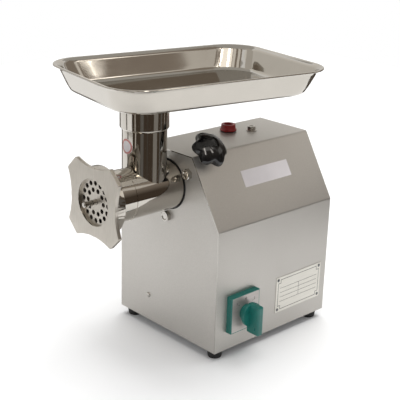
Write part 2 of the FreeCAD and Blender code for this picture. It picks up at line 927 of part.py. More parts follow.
def make_middle_drive():
    front = chamber_front - S.small_bearing_width
    rear = chamber_end + S.small_bearing_width
    shaft_start = front + S.face_gap
    shaft = rod(S.small_shaft_radius, (shaft_start, 0, middle_z), rear - S.face_gap - shaft_start)
    pinion = gear(S.teeth_slow_pinion, S.module_slow, S.slow_width, None,
                  (output_gear_start, 0, middle_z), 90.0)
    node("middle_shaft", fuse(shaft, pinion))
    tooth_gap = -90.0 + 180.0 / float(S.teeth_fast)
    node("middle_gear", gear(S.teeth_fast, S.module_fast, S.fast_width, S.small_shaft_radius,
                             (fast_gear_start, 0, middle_z), tooth_gap))
    starts = (front, chamber_end)
    node("middle_bearings", group(
        bearing(S.small_bearing_radius, S.small_shaft_radius, S.small_bearing_width, x, middle_z)
        for x in starts))


# Motor
def make_rotor():
    shaft_start = rear_bearing + S.face_gap
    shaft_end = fast_gear_start + S.fast_width
    node("motor_shaft", rod(S.small_shaft_radius, (shaft_start, 0, motor_z), shaft_end - shaft_start))
    node("motor_pinion", gear(S.teeth_motor, S.module_fast, S.fast_width, S.small_shaft_radius,
                              (fast_gear_start, 0, motor_z), 90.0))
    node("rotor_core", tube(S.rotor_radius, S.small_shaft_radius, (stack_start, 0, motor_z), S.stack_length))


def make_cooling_fan():
    """A hub with flat blades standing on a disc, in its own frame on the motor shaft."""
    hub = S.small_shaft_radius + S.fan_hub_wall
    half = S.fan_blade / 2
    star = []
    for y, z in polar(S.fan_blades, 1):
        for radius, side in ((hub, -1), (S.fan_radius, -1), (S.fan_radius, 1), (hub, 1)):
            star.append((radius * y - half * side * z, radius * z + half * side * y))
    bore = ((0, 0), S.small_shaft_radius)
    body = new_body()
    pad(body, "YZ_Plane", 0, S.fan_length, [star], [bore])
    pad(body, "YZ_Plane", S.fan_length - S.fan_disc, S.fan_disc, [], [((0, 0), S.fan_radius), bore])
    node("cooling_fan", place(body, (stack_start - S.fan_length, 0, motor_z)))


def tie_bolt_points():
    return [(y, motor_z + z) for y, z in polar(4, S.tie_bolt_circle, 45.0)]


def make_stator():
    clear = S.tie_bolt_radius + S.seam_gap
    holes = [rod(clear, (stack_start, y, z), S.stack_length) for y, z in tie_bolt_points()]
    stack = tube(S.motor_radius, S.rotor_radius + S.air_gap, (stack_start, 0, motor_z), S.stack_length)
    node("stator_core", cut(stack, *holes))
    coil_starts = (stack_start - S.winding_length, stack_end)
    node("stator_windings", group(
        tube(S.winding_outer, S.winding_inner, (x, 0, motor_z), S.winding_length) for x in coil_starts))


def make_motor_shields():
    skirt = S.motor_radius - S.motor_wall
    node("motor_front_shield", tube(S.motor_radius, skirt, (stack_end, 0, motor_z), S.shield_front))
    cup = rod(S.motor_radius, (motor_start, 0, motor_z), S.shield_rear)
    hollow = rod(skirt, (motor_start + S.motor_wall, 0, motor_z), S.shield_rear)
    seat_end = rear_bearing + S.small_bearing_width
    seat = rod(S.small_bearing_radius + S.motor_wall, (motor_start, 0, motor_z), seat_end - motor_start)
    pocket = rod(S.small_bearing_radius, (rear_bearing, 0, motor_z), S.small_bearing_width)
    clear = S.tie_bolt_radius + S.seam_gap
    holes = [rod(clear, (motor_start, y, z), S.motor_wall) for y, z in tie_bolt_points()]
    node("motor_rear_shield", cut(fuse(cut(cup, hollow), seat), pocket, *holes))


def make_motor_fittings():
    bearing_starts = (rear_bearing, wall_start)
    node("motor_bearings", group(
        bearing(S.small_bearing_radius, S.small_shaft_radius, S.small_bearing_width, x, motor_z)
        for x in bearing_starts))
    ties = []
    for y, z in tie_bolt_points():
        shank = rod(S.tie_bolt_radius, (motor_start, y, z), wall_start - motor_start)
        head = hexagon(S.tie_bolt_across, (motor_start - S.tie_bolt_head, y, z), S.tie_bolt_head)
        ties.append(fuse(shank, head))
    node("motor_tie_bolts", group(ties))


# Grinder head
def make_grinder_head():
    nose_start = plate_front + S.face_gap
    barrel = rod(S.barrel_radius, (nose_start, 0, axis_z), socket_bottom - nose_start)
    nose = rod(S.nose_radius, (nose_start, 0, axis_z), nose_back - nose_start)
    taper = cone(S.nose_radius, S.barrel_radius, (nose_back, 0, axis_z), S.nose_cone)
    seam = rod(S.barrel_radius + S.seam_rise, (nose_back + S.seam_distance, 0, axis_z), S.seam_width)
    throat = rod(S.throat_radius, (throat_x, 0, axis_z), S.throat_height, "z")
    bore = rod(S.barrel_bore, (nose_start, 0, axis_z), bore_end - nose_start)
    seat = rod(S.plate_radius + S.running_gap, (nose_start, 0, axis_z), plate_back - nose_start)
    journal = rod(S.journal_radius + S.running_gap, (bore_end, 0, axis_z), S.barrel_wall)
    port = rod(S.port_radius, (throat_x, 0, axis_z), S.port_height, "z")
    ledge = axis_z + S.port_height
    feed = rod(S.throat_bore, (throat_x, 0, ledge), S.throat_height - S.port_height, "z")
    node("grinder_head", cut(fuse(barrel, nose, taper, seam, throat), bore, seat, journal, port, feed))


def tray_sections(inset):
    """Heights, insets and corner radii of the tray's form, from the floor's round up to the rim."""
    rim = inset + S.tray_lip
    radius = S.tray_bottom_round - inset
    slope = math.atan2(float(S.tray_depth), float(S.tray_flare))
    sections = []
    for step in range(ROUND_STEPS + 1):
        angle = slope * step / ROUND_STEPS
        inwards = radius * (math.tan(slope / 2) - math.sin(angle))
        height = inset + radius * (1 - math.cos(angle))
        sections.append((height, rim + S.tray_flare + inwards, S.tray_floor_corner - inset - inwards))
    sections.append((inset + S.tray_depth, rim, S.tray_rim_corner - inset))
    return sections


def tray_solid(inset):
    """The tray as a filled form, moved inwards and upwards from its outer side."""
    body = new_body()
    outlines = []
    for height, shrink, corner in tray_sections(inset):
        sketch = sketch_on(body, "XY_Plane", height)
        half_length = S.tray_length / 2 - shrink
        half_width = S.tray_width / 2 - shrink
        draw_rounded(sketch, S.tray_hole_offset, half_length, half_width, corner)
        outlines.append(sketch)
    loft = body.newObject("PartDesign::AdditiveLoft", "loft")
    loft.Profile = outlines[0]
    loft.Sections = outlines[1:]
    loft.Ruled = True
    return body


def rim_solid():
    """The hemmed rim as a filled plate, the tray's full length and width."""
    body = new_body()
    sketch = sketch_on(body, "XY_Plane", S.tray_depth - S.tray_hem)
    radius = S.tray_rim_corner + S.tray_lip
    draw_rounded(sketch, S.tray_hole_offset, S.tray_length / 2, S.tray_width / 2, radius)
    feature = body.newObject("PartDesign::Pad", "pad")
    feature.Profile = sketch
    drive(feature, "Length", S.tray_hem)
    return body


def make_feed_tray():
    """The tray in its own frame, with the throat's axis at the origin and its floor at height zero."""
    outer = tray_solid(0)
    inner = tray_solid(S.tray_sheet)
    lip = rim_solid()
    skirt_bore = S.throat_radius + S.slip_gap
    straight = S.skirt_height - S.skirt_bevel
    skirt_radius = skirt_bore + S.skirt_wall
    skirt = rod(skirt_radius, (0, 0, -straight), straight + S.tray_sheet, "z")
    bevel = cone(skirt_radius, skirt_bore + S.skirt_edge, (0, 0, -straight), S.skirt_bevel, "-z")
    slip = rod(skirt_bore, (0, 0, -S.skirt_height), S.skirt_height, "z")
    hole = rod(S.throat_bore, (0, 0, -S.tray_sheet), 3 * S.tray_sheet, "z")
    tray = cut(fuse(outer, lip, skirt, bevel), inner, slip, hole)
    node("feed_tray", tray)
    place(tray, (throat_x, 0, tray_z))
    turn = FreeCAD.Rotation(FreeCAD.Vector(0, 0, 1), float(S.tray_yaw))
    tray.Placement = FreeCAD.Placement(tray.Placement.Base, turn)
    drive(tray, "Placement.Rotation.Yaw", S.tray_yaw)


def make_ring_nut():
    near = (S.arm_reach - S.arm_half_width) * QUARTER
    far = (S.arm_reach + S.arm_half_width) * QUARTER
    rim = [(near, far), (-near, far), (-far, near), (-far, -near)]
    rim += [(-y, -z) for y, z in rim]
    star = new_body()
    pad(star, "YZ_Plane", 0, S.arm_thickness, [rim])
    depth = far - S.arm_dip
    hollow_radius = (near * near + depth * depth) / (2 * depth)
    distance = S.arm_dip + hollow_radius
    scoops = [rod(hollow_radius, (0, y, z), S.arm_thickness) for y, z in polar(4, distance)]
    corner = float(root(near * near + far * far))
    arms = rounded(cut(star, *scoops), S.arm_corner,
                   lambda edge: math.hypot(spot(edge).y, spot(edge).z) > corner - 0.01
                   and abs(edge.tangentAt(edge.FirstParameter).x) > 0.9)
    thread = S.nose_radius + S.slip_gap
    collar = rod(thread + S.ring_wall, (0, 0, 0), S.ring_depth)
    opening = rod(S.ring_opening, (0, 0, 0), S.ring_depth)
    inside = rod(thread, (S.ring_lip, 0, 0), S.ring_depth)
    node("ring_nut", place(cut(fuse(arms, collar), opening, inside), (ring_face, 0, axis_z)))


def make_grinding_plate():
    body = new_body()
    holes = polar(S.plate_outer_count, S.plate_outer_ring) + polar(S.plate_inner_count, S.plate_inner_ring)
    circles = [((0, 0), S.plate_radius), ((0, 0), S.pin_radius + S.slip_gap)]
    circles += [(at, S.plate_hole) for at in holes]
    pad(body, "YZ_Plane", 0, S.plate_thickness, [], circles)
    node("grinding_plate", place(body, (plate_front, 0, axis_z)))


def make_knife():
    half = S.knife_blade / 2
    reach = S.knife_radius
    upright = box((knife_front, -half, axis_z - reach), (knife_back, half, axis_z + reach))
    level = box((knife_front, -reach, axis_z - half), (knife_back, reach, axis_z + half))
    hub = rod(S.knife_hub, (knife_front, 0, axis_z), S.knife_thickness)
    limit = rod(reach, (knife_front, 0, axis_z), S.knife_thickness)
    hole = square_bar(S.square_side + S.seam_gap, (knife_front, 0, axis_z), S.knife_thickness)
    node("knife", cut(common(fuse(upright, level, hub), limit), hole))


def make_worm():
    """The worm in its own frame, with Z running back from the knife's seat."""
    length = washer_front - knife_back
    body = new_body()
    sketch = sketch_on(body, "XZ_Plane")
    draw_polygon(sketch, [(0, 0), (S.worm_core_front, 0), (S.worm_core_rear, length), (0, length)])
    axis = next(a for a in body.Origin.OriginFeatures if a.Role == "Z_Axis")
    core = body.newObject("PartDesign::Revolution", "core")
    core.Profile = sketch
    core.ReferenceAxis = (axis, [""])
    core.Angle = 360
    section = sketch_on(body, "XZ_Plane")
    sunk = S.worm_core_rear / 2
    slant = (S.flight_root - S.flight_tip) / 2
    start = S.face_gap
    draw_polygon(section, [
        (sunk, start),
        (S.worm_radius, start + slant),
        (S.worm_radius, start + slant + S.flight_tip),
        (sunk, start + S.flight_root),
    ])
    flight = body.newObject("PartDesign::AdditiveHelix", "flight")
    flight.Profile = section
    flight.ReferenceAxis = (axis, [""])
    flight.Mode = "pitch-height-angle"
    drive(flight, "Pitch", S.flight_pitch)
    drive(flight, "Height", length - S.flight_root - 2 * S.face_gap)
    place(body, (knife_back, 0, axis_z), "x")
    journal = rod(S.journal_radius, (washer_front, 0, axis_z), socket_bottom - washer_front)
    tang = square_bar(S.tang_side, (socket_bottom, 0, axis_z), S.tang_length)
    seat = square_bar(S.square_side, (knife_front, 0, axis_z), S.knife_thickness)
    pin_hole = rod(S.pin_radius, (knife_front, 0, axis_z), S.pin_grip)
    node("worm", cut(fuse(body, journal, tang, seat), pin_hole))
    pin_start = ring_face - S.pin_reach
    node("worm_pin", rod(S.pin_radius, (pin_start, 0, axis_z), knife_front + S.pin_grip - pin_start))
    node("thrust_washer", tube(S.washer_radius, S.journal_radius, (washer_front, 0, axis_z),
                               S.washer_thickness))


# Lock screw
def make_lock():
    tip = S.barrel_radius + S.slip_gap
    stud = rod(S.lock_stud_radius, (lock_x, -tip * QUARTER, axis_z + tip * QUARTER), S.lock_stud_length,
               "lock")
    node("lock_stud", stud)
    rise = S.lock_shank_height
    hub = rod(S.lock_knob_hub, (0, 0, rise), S.lock_knob_height - rise, "z")
    lobes = [rod(S.lock_lobe_radius, (x, y, rise), S.lock_knob_height - rise, "z")
             for x, y in polar(6, S.lock_lobe_circle, 100.0)]
    low = float(rise)
    high = float(S.lock_knob_height)
    star = rounded(fuse(hub, *lobes), S.lock_knob_edge,
                   lambda edge: edge.BoundBox.ZMin > high - 0.01 or edge.BoundBox.ZMax < low + 0.01)
    dome = doc.addObject("Part::Sphere", "dome")
    drive(dome, "Radius", S.lock_dome_radius)
    place(dome, (0, 0, S.lock_knob_height + S.lock_knob_edge / 4 - S.lock_dome_radius))
    shank = rod(S.lock_shank_radius, (0, 0, 0), rise + S.lock_knob_edge, "z")
    depth = tip + S.lock_stud_length - S.lock_knob_start + S.face_gap
    bore = rod(S.lock_stud_radius + S.running_gap, (0, 0, 0), depth, "z")
    reach = S.lock_knob_start * QUARTER
    knob = cut(fuse(common(star, dome), shank), bore)
    node("lock_knob", place(knob, (lock_x, -reach, axis_z + reach), "lock"))


# Pieces on the casing's top
def make_filler():
    seat = case_top + S.plug_seal_height
    bottom = -S.plug_thread_length
    rim = S.plug_recess_radius
    outline = [
        (0, bottom),
        (S.plug_thread_radius, bottom),
        (S.plug_thread_radius, 0),
        (S.plug_flange_radius, 0),
        (S.plug_flange_radius, S.plug_flange_height),
        (S.plug_base_radius, S.plug_flange_height),
        (S.plug_top_radius, S.plug_height),
        (rim, S.plug_height),
        (rim, S.plug_height - S.plug_recess_depth),
        (0, S.plug_height - S.plug_recess_depth),
    ]
    node("filler_plug", turned(outline, (plug_x, S.plug_y, seat)))
    node("filler_seal", tube(S.plug_seal_radius, S.plug_thread_radius + S.running_gap,
                             (plug_x, S.plug_y, case_top), S.plug_seal_height, "z"))


def make_top_bolt():
    washer_top = case_top + S.top_washer_thickness
    at = (top_bolt_x, 0, washer_top)
    node("top_washer", tube(S.top_washer_radius, S.top_bolt_radius + S.seam_gap,
                            (top_bolt_x, 0, case_top), S.top_washer_thickness, "z"))
    shank = rod(S.top_bolt_radius, at, S.top_bolt_length, "-z")
    node("top_bolt", fuse(shank, hexagon(S.top_bolt_across, at, S.top_bolt_head, "z")))


# Pieces on the head end panel
def make_panel_pieces():
    bolts = []
    for y, z in lug_points():
        shank = rod(S.flange_bolt_radius, (head_face, y, z), S.sheet + S.lug_thickness)
        cap = hexagon(S.flange_bolt_across, (head_face - S.flange_bolt_head, y, z), S.flange_bolt_head)
        bolts.append(fuse(shank, cap))
    node("flange_bolts", group(bolts))
    y, z = earth_spot()
    shank = rod(S.earth_screw_radius, (head_face, y, z), S.sheet + S.earth_nut_height + S.earth_screw_tip)
    cap = rod(S.earth_screw_head, (head_face - S.earth_screw_rise, y, z), S.earth_screw_rise)
    node("earth_screw", fuse(shank, cap))
    nut_hole = rod(S.earth_screw_radius, (neck_start, y, z), S.earth_nut_height)
    nut = hexagon(S.earth_nut_across, (neck_start, y, z), S.earth_nut_height)
    node("earth_nut", cut(nut, nut_hole))
    inner = S.barrel_radius + S.slip_gap
    node("neck_seal", tube(inner + S.neck_seal_width, inner, (head_face - S.neck_seal_proud, 0, axis_z),
                           S.neck_seal_proud + S.sheet))


# Rotary switch
def make_switch():
    half = S.switch_side / 2
    bezel_front = front_face - S.switch_bezel
    bezel = box((switch_x - half, bezel_front, switch_z - half),
                (switch_x + half, front_face, switch_z + half))
    wall = float(front_face)
    soft = rounded(bezel, S.switch_edge, lambda edge: spot(edge).y < wall - 0.01)
    face_half = S.switch_face_side / 2
    face_back = bezel_front + S.switch_face
    recess = box((switch_x - face_half, bezel_front - S.switch_face, switch_z - face_half),
                 (switch_x + face_half, face_back, switch_z + face_half))
    shaft_hole = rod(S.switch_shaft_radius + S.running_gap, (switch_x, front_face, switch_z),
                     S.switch_bezel * 2, "-y")
    node("switch_bezel", cut(soft, recess, shaft_hole))
    plate = box((switch_x - face_half, bezel_front, switch_z - face_half),
                (switch_x + face_half, face_back, switch_z + face_half))
    plate_hole = rod(S.switch_shaft_radius + S.slip_gap, (switch_x, front_face, switch_z),
                     S.switch_bezel * 2, "-y")
    node("switch_face_plate", cut(plate, plate_hole))

    body_half = S.switch_body_side / 2
    block = box((switch_x - body_half, front_face, switch_z - body_half),
                (switch_x + body_half, front_face + S.switch_body_depth, switch_z + body_half))
    grip = S.switch_body_depth / 2
    socket = rod(S.switch_shaft_radius + S.running_gap, (switch_x, front_face + grip, switch_z), grip, "-y")
    node("switch_body", cut(block, socket))

    knob_back = bezel_front - S.face_gap
    shaft_start = front_face + grip - S.face_gap
    knob_grip = S.knob_stand + S.knob_base + S.knob_bar_rise / 2
    shaft_length = shaft_start - knob_back + knob_grip
    node("switch_shaft", rod(S.switch_shaft_radius, (switch_x, shaft_start, switch_z), shaft_length, "-y"))
    disc_back = knob_back - S.knob_stand
    hub = rod(S.knob_hub, (switch_x, knob_back, switch_z), S.knob_stand, "-y")
    disc = rod(S.knob_radius, (switch_x, disc_back, switch_z), S.knob_base, "-y")
    bar_half = S.knob_bar_width / 2
    bar_front = disc_back - S.knob_base - S.knob_bar_rise
    bar = box((switch_x - bar_half, bar_front, switch_z - S.knob_bar_down),
              (switch_x + bar_half, disc_back, switch_z + S.knob_bar_up))
    back = float(disc_back)
    handle = rounded(bar, S.knob_bar_round, lambda edge: spot(edge).y < back - 0.01)
    bore = rod(S.switch_shaft_radius, (switch_x, knob_back, switch_z), knob_grip, "-y")
    node("switch_knob", cut(fuse(hub, disc, handle), bore))


# Plates and stickers
def rivet_points(y):
    x = S.rating_length / 2 - S.rivet_inset
    z = S.rating_width / 2 - S.rivet_inset
    return [(rating_x + a * x, y, rating_z + b * z) for a in (-1, 1) for b in (-1, 1)]


def make_plates():
    half = S.rating_length / 2
    tall = S.rating_width / 2
    plate_face = front_face - S.rating_thickness
    plate = box((rating_x - half, plate_face, rating_z - tall),
                (rating_x + half, front_face, rating_z + tall))
    holes = [rod(S.rivet_radius, at, S.rating_thickness, "-y") for at in rivet_points(front_face)]
    node("rating_plate", cut(plate, *holes))
    rivets = []
    for x, y, z in rivet_points(plate_face):
        shank = rod(S.rivet_radius, (x, front_face + 2 * S.sheet, z), 2 * S.sheet + S.rating_thickness, "-y")
        cap = cone(S.rivet_head, S.rivet_radius, (x, y, z), S.rivet_rise, "-y")
        rivets.append(fuse(shank, cap))
    node("rating_plate_rivets", group(rivets))

    sticker = doc.addObject("Part::Box", "sticker")
    drive(sticker, "Length", S.sticker_length)
    drive(sticker, "Width", S.sticker_width)
    drive(sticker, "Height", S.sticker_thickness)
    low = (S.sticker_up_slope - S.sticker_width / 2) / slope_length
    at = (S.sticker_x - S.sticker_length / 2, front_face + slope_run * low, knee_z + slope_rise * low)
    place(sticker, at)
    lean = arc_tangent(slope_rise / slope_run)
    sticker.Placement = FreeCAD.Placement(
        sticker.Placement.Base, FreeCAD.Rotation(FreeCAD.Vector(1, 0, 0), float(lean)))
    drive(sticker, "Placement.Rotation.Roll", lean)
    node("slope_sticker", sticker)

    disc = rod(S.disc_radius, (throat_x, 0, axis_z + S.disc_height), S.throat_radius * 2, "-x")
    skin = tube(S.throat_radius + S.sticker_thickness, S.throat_radius, (throat_x, 0, axis_z),
                S.throat_height, "z")
    node("throat_sticker", common(skin, disc))


# Wiring parts inside and the cord's gland
def make_wiring():
    radius = S.capacitor_radius
    z = base_top + S.clamp_band + radius
    at = (capacitor_x, capacitor_y, z)
    can = rod(radius, at, S.capacitor_length)
    stub = rod(radius / 3, (capacitor_x + S.capacitor_length, capacitor_y, z), radius / 2)
    node("start_capacitor", fuse(can, stub))
    band_x = capacitor_x + (S.capacitor_length - S.clamp_width) / 2
    band = rod(radius + S.clamp_band, (band_x, capacitor_y, z), S.clamp_width)
    foot_end = capacitor_y - radius - S.clamp_foot
    foot = box((band_x, foot_end, base_top), (band_x + S.clamp_width, capacitor_y, base_top + S.clamp_band))
    node("capacitor_clamp", cut(fuse(band, foot), rod(radius, (band_x, capacitor_y, z), S.clamp_width)))
    half = S.terminal_length / 2
    terminal_y = gland_spot()[0] - S.terminal_step
    low = (terminal_x, terminal_y - half, base_top)
    high = (terminal_x + S.terminal_width, terminal_y + half, base_top + S.terminal_height)
    wells = []
    for step in (-1, 0, 1):
        x = terminal_x + S.terminal_width / 2
        y = terminal_y + step * S.terminal_length / 3
        z = base_top + S.terminal_height / 2
        wells.append(rod(S.terminal_well, (x, y, z), S.terminal_height, "z"))
    node("terminal_block", cut(box(low, high), *wells))

    y, z = gland_spot()
    outside = rear_face + S.gland_flange
    solid = fuse(
        rod(S.gland_radius, (rear_face - 2 * S.gland_flange, y, z), 2 * S.gland_flange),
        hexagon(S.gland_across, (rear_face, y, z), S.gland_flange),
        cone(S.gland_radius + S.sheet, S.gland_radius - S.sheet, (outside, y, z), S.gland_nose),
    )
    length = 3 * S.gland_flange + S.gland_nose
    node("cord_gland", cut(solid, rod(S.gland_bore, (rear_face - 2 * S.gland_flange, y, z), length)))
    nut_at = (rear_face - S.sheet - S.gland_flange, y, z)
    nut = hexagon(S.gland_across, nut_at, S.gland_flange)
    node("gland_nut", cut(nut, rod(S.gland_radius, nut_at, S.gland_flange)))


make_casing_wrap()
make_end_panels()
make_base_plate()
make_feet()
make_gearbox()
make_gearbox_cover()
make_output_drive()
make_middle_drive()
make_rotor()
make_cooling_fan()
make_stator()
make_motor_shields()
make_motor_fittings()
make_grinder_head()
make_feed_tray()
make_ring_nut()
make_grinding_plate()
make_knife()
make_worm()
make_lock()
make_filler()
make_top_bolt()
make_panel_pieces()
make_switch()
make_plates()
make_wiring()
doc.recompute()

# Every object must have built, and every piece must be a sound solid, before anything is written
for item in doc.Objects:
    if "Invalid" in item.State or "Error" in item.State:
        raise RuntimeError(f"{item.Name} of {item.Label} did not build: {item.State}")
for item in NODES:
    if item.Shape.isNull() or not item.Shape.isValid() or not item.Shape.Solids:
        raise RuntimeError(f"{item.Label} is not a sound solid")

os.makedirs("parts", exist_ok=True)
for item in NODES:
    item.Shape.exportStep(f"parts/{item.Label}.step")
    print(f"{item.Label}: {len(item.Shape.Solids)} solids, {item.Shape.Volume:.1f} mm3")
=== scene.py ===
import json
from functools import cache
from math import atan2, cos, hypot, pi, radians, sin, sqrt, tan

import bmesh
import bpy
from bpy.props import FloatProperty, FloatVectorProperty, IntProperty, PointerProperty
from mathutils import Matrix, Vector


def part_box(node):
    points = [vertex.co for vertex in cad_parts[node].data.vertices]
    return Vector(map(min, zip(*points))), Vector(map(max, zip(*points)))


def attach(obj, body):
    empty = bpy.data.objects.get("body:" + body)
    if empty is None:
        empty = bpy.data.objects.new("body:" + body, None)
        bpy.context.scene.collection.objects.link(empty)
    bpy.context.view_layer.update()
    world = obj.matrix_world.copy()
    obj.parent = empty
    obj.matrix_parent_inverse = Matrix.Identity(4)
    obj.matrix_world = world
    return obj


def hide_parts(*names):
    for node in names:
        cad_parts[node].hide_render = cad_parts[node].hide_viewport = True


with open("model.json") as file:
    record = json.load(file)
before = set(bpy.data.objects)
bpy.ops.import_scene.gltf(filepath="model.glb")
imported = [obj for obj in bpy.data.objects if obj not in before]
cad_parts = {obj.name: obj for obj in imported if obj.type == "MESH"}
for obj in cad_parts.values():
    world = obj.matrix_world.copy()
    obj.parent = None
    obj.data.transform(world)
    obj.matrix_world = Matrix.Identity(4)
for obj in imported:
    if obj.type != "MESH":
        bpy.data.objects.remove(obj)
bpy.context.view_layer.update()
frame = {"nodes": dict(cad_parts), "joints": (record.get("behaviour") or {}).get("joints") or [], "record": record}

bl_info = {
    "name": "Bench meat grinder",
    "version": (1, 0, 0),
    "blender": (4, 5, 0),
    "location": "3D View > Sidebar > Grinder",
    "description": "Gives the built grinder its finishes and fine shapes, and sets up a stage",
    "category": "Object",
}

NODES = frame["nodes"]
MM = 0.001


def centre_of(node):
    low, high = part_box(node)
    return (low + high) / 2


def named(items, name):
    return next(item for item in items if item["name"] == name)


# Places taken from the built pieces, in metres
AXIS_Z = centre_of("grinding_plate").z
WRAP_LOW, WRAP_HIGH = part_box("casing_wrap")
THROAT_X = named(frame["record"]["mounts"], "feed_throat")["pos_m"][0]
TRAY_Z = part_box("grinder_head")[1].z


# Sizes, colours and lights a user may change
def length(name, description, millimetres):
    return FloatProperty(name=name, description=description, default=millimetres * MM,
                         unit="LENGTH", subtype="DISTANCE", precision=5)


def colour(name, description, red, green, blue):
    return FloatVectorProperty(name=name, description=description, default=(red, green, blue),
                               size=3, subtype="COLOR", min=0.0, max=1.0)


def power(name, description, watts):
    return FloatProperty(name=name, description=description, default=watts, unit="POWER")


class GrinderColours(bpy.types.PropertyGroup):
    """Base colours of the finishes."""

    casing: colour("Casing", "Satin metal of the casing", 0.485, 0.466, 0.437)
    polished: colour("Polished steel", "Mirror finish of tray and head", 0.49, 0.463, 0.42)
    satin: colour("Satin steel", "Ring nut, plate, knife and worm", 0.505, 0.474, 0.426)
    bright: colour("Bright steel", "Plated bolts and screws", 0.47, 0.452, 0.42)
    shaft: colour("Ground steel", "Shafts and bearings", 0.62, 0.62, 0.62)
    zinc: colour("Zinc sheet", "Base plate and clamps", 0.30, 0.30, 0.31)
    cast: colour("Cast case", "Gearbox and motor shields", 0.48, 0.48, 0.48)
    iron: colour("Iron", "Gears and motor cores", 0.16, 0.16, 0.165)
    copper: colour("Winding", "Varnished motor windings", 0.45, 0.17, 0.06)
    black: colour("Black plastic", "Lock knob, switch body and gland", 0.005, 0.005, 0.0055)
    rubber: colour("Rubber", "Feet and seals", 0.012, 0.012, 0.012)
    red: colour("Filler plug", "Oil filler plug", 0.27, 0.004, 0.005)
    green: colour("Switch", "Switch bezel and knob", 0.0035, 0.125, 0.105)
    plate: colour("Rating plate", "Plain rating plate", 0.66, 0.64, 0.585)
    face: colour("Switch face", "Plate behind the switch knob", 0.47, 0.44, 0.42)
    film: colour("Sticker film", "Bare stickers", 0.70, 0.66, 0.665)
    rose: colour("Disc edge", "Printed rim of the round sticker", 0.52, 0.20, 0.18)
    ink: colour("Ink", "Printed rules and marks", 0.06, 0.055, 0.05)
    white: colour("White plastic", "Capacitor and thrust washer", 0.74, 0.73, 0.69)


class GrinderSizes(bpy.types.PropertyGroup):
    """Sizes of the shapes that are made here."""

    tray_length: length("Tray length", "Over the rim", 303)
    tray_width: length("Tray width", "Over the rim", 210)
    tray_depth: length("Tray depth", "From the floor to the rim", 33)
    tray_flare: length("Tray flare", "How far the walls lean out", 12)
    tray_lip: length("Tray lip", "Width of the flat rim", 5)
    tray_sheet: length("Tray sheet", "Thickness of the sheet", 1.2)
    tray_round: length("Tray round", "Radius between floor and wall", 9)
    tray_rim_corner: length("Rim corner", "Corner radius at the rim", 40.5)
    tray_floor_corner: length("Floor corner", "Corner radius at the floor", 40)
    tray_offset: length("Hole offset", "From the tray's middle to the throat", 63)
    tray_yaw: FloatProperty(name="Tray turn", description="Turn of the tray on the throat",
                            default=radians(-9.8), subtype="ANGLE", unit="ROTATION")
    throat_bore: length("Throat bore", "Radius of the feed opening", 24.5)
    skirt_radius: length("Skirt radius", "Outside of the tray's skirt", 30.6)
    skirt_height: length("Skirt height", "How far the skirt reaches down", 39)
    skirt_wall: length("Skirt wall", "Thickness of the skirt", 2.3)
    skirt_bevel: length("Skirt bevel", "Height of the bevelled lower end", 1.6)
    edge: length("Soft edge", "Width of the softened edges", 0.5)
    lathe_steps: IntProperty(name="Lathe steps", description="Faces round a turned shape",
                             default=64, min=12)


class GrinderStage(bpy.types.PropertyGroup):
    """Studio light and camera."""

    lens: FloatProperty(name="Lens", description="Focal length", default=84.21, unit="CAMERA")
    key: power("Top light", "Strength of the overhead light", 250.0)
    side: power("Side light", "Strength of the light on the head end", 5.0)
    fill: power("Front light", "Strength of the light on the control face", 4.0)
    sky: FloatProperty(name="Room light", description="Even light from all round", default=0.36,
                       min=0.0)
    floor: colour("Floor", "Pale floor", 0.96, 0.96, 0.96)
    room_low: colour("Room below", "Foot of the dark wall that metal mirrors", 0.075, 0.056, 0.041)
    room_high: colour("Room above", "Top of the dark wall that metal mirrors", 0.33, 0.28, 0.235)
    grey_low: colour("Grey below", "Foot of the grey wall behind the grinder", 0.57, 0.55, 0.515)
    grey_high: colour("Grey above", "Top of the grey wall behind the grinder", 0.97, 0.94, 0.89)
    strip: colour("Light strip", "Upright light strips and windows", 0.75, 0.71, 0.655)
    room_radius: length("Room radius", "From the grinder to the dark wall", 600)
    grey_radius: length("Grey radius", "From the grinder to the grey wall", 1200)
    room_height: length("Room height", "Height of the walls", 1250)


def sizes():
    return bpy.context.scene.grinder_sizes


def shade(name):
    return tuple(getattr(bpy.context.scene.grinder_colours, name))


def show(made):
    bpy.context.scene.collection.objects.link(made)


# Node graphs for the finishes
SPAN = (0.3, 0.7)  # texture values between which a pattern runs from its low to its high end
CELL_SPAN = (0.1, 0.6)


class Graph:
    """The node tree of a material or world, with short ways to add and link nodes."""

    def __init__(self, owner):
        owner.use_nodes = True
        self.nodes = owner.node_tree.nodes
        self.link = owner.node_tree.links.new

    def node(self, kind, **inputs):
        """A new node with some of its inputs set, each named with underscores for spaces."""
        made = self.nodes.new("ShaderNode" + kind)
        for name, value in inputs.items():
            made.inputs[name.replace("_", " ")].default_value = value
        return made


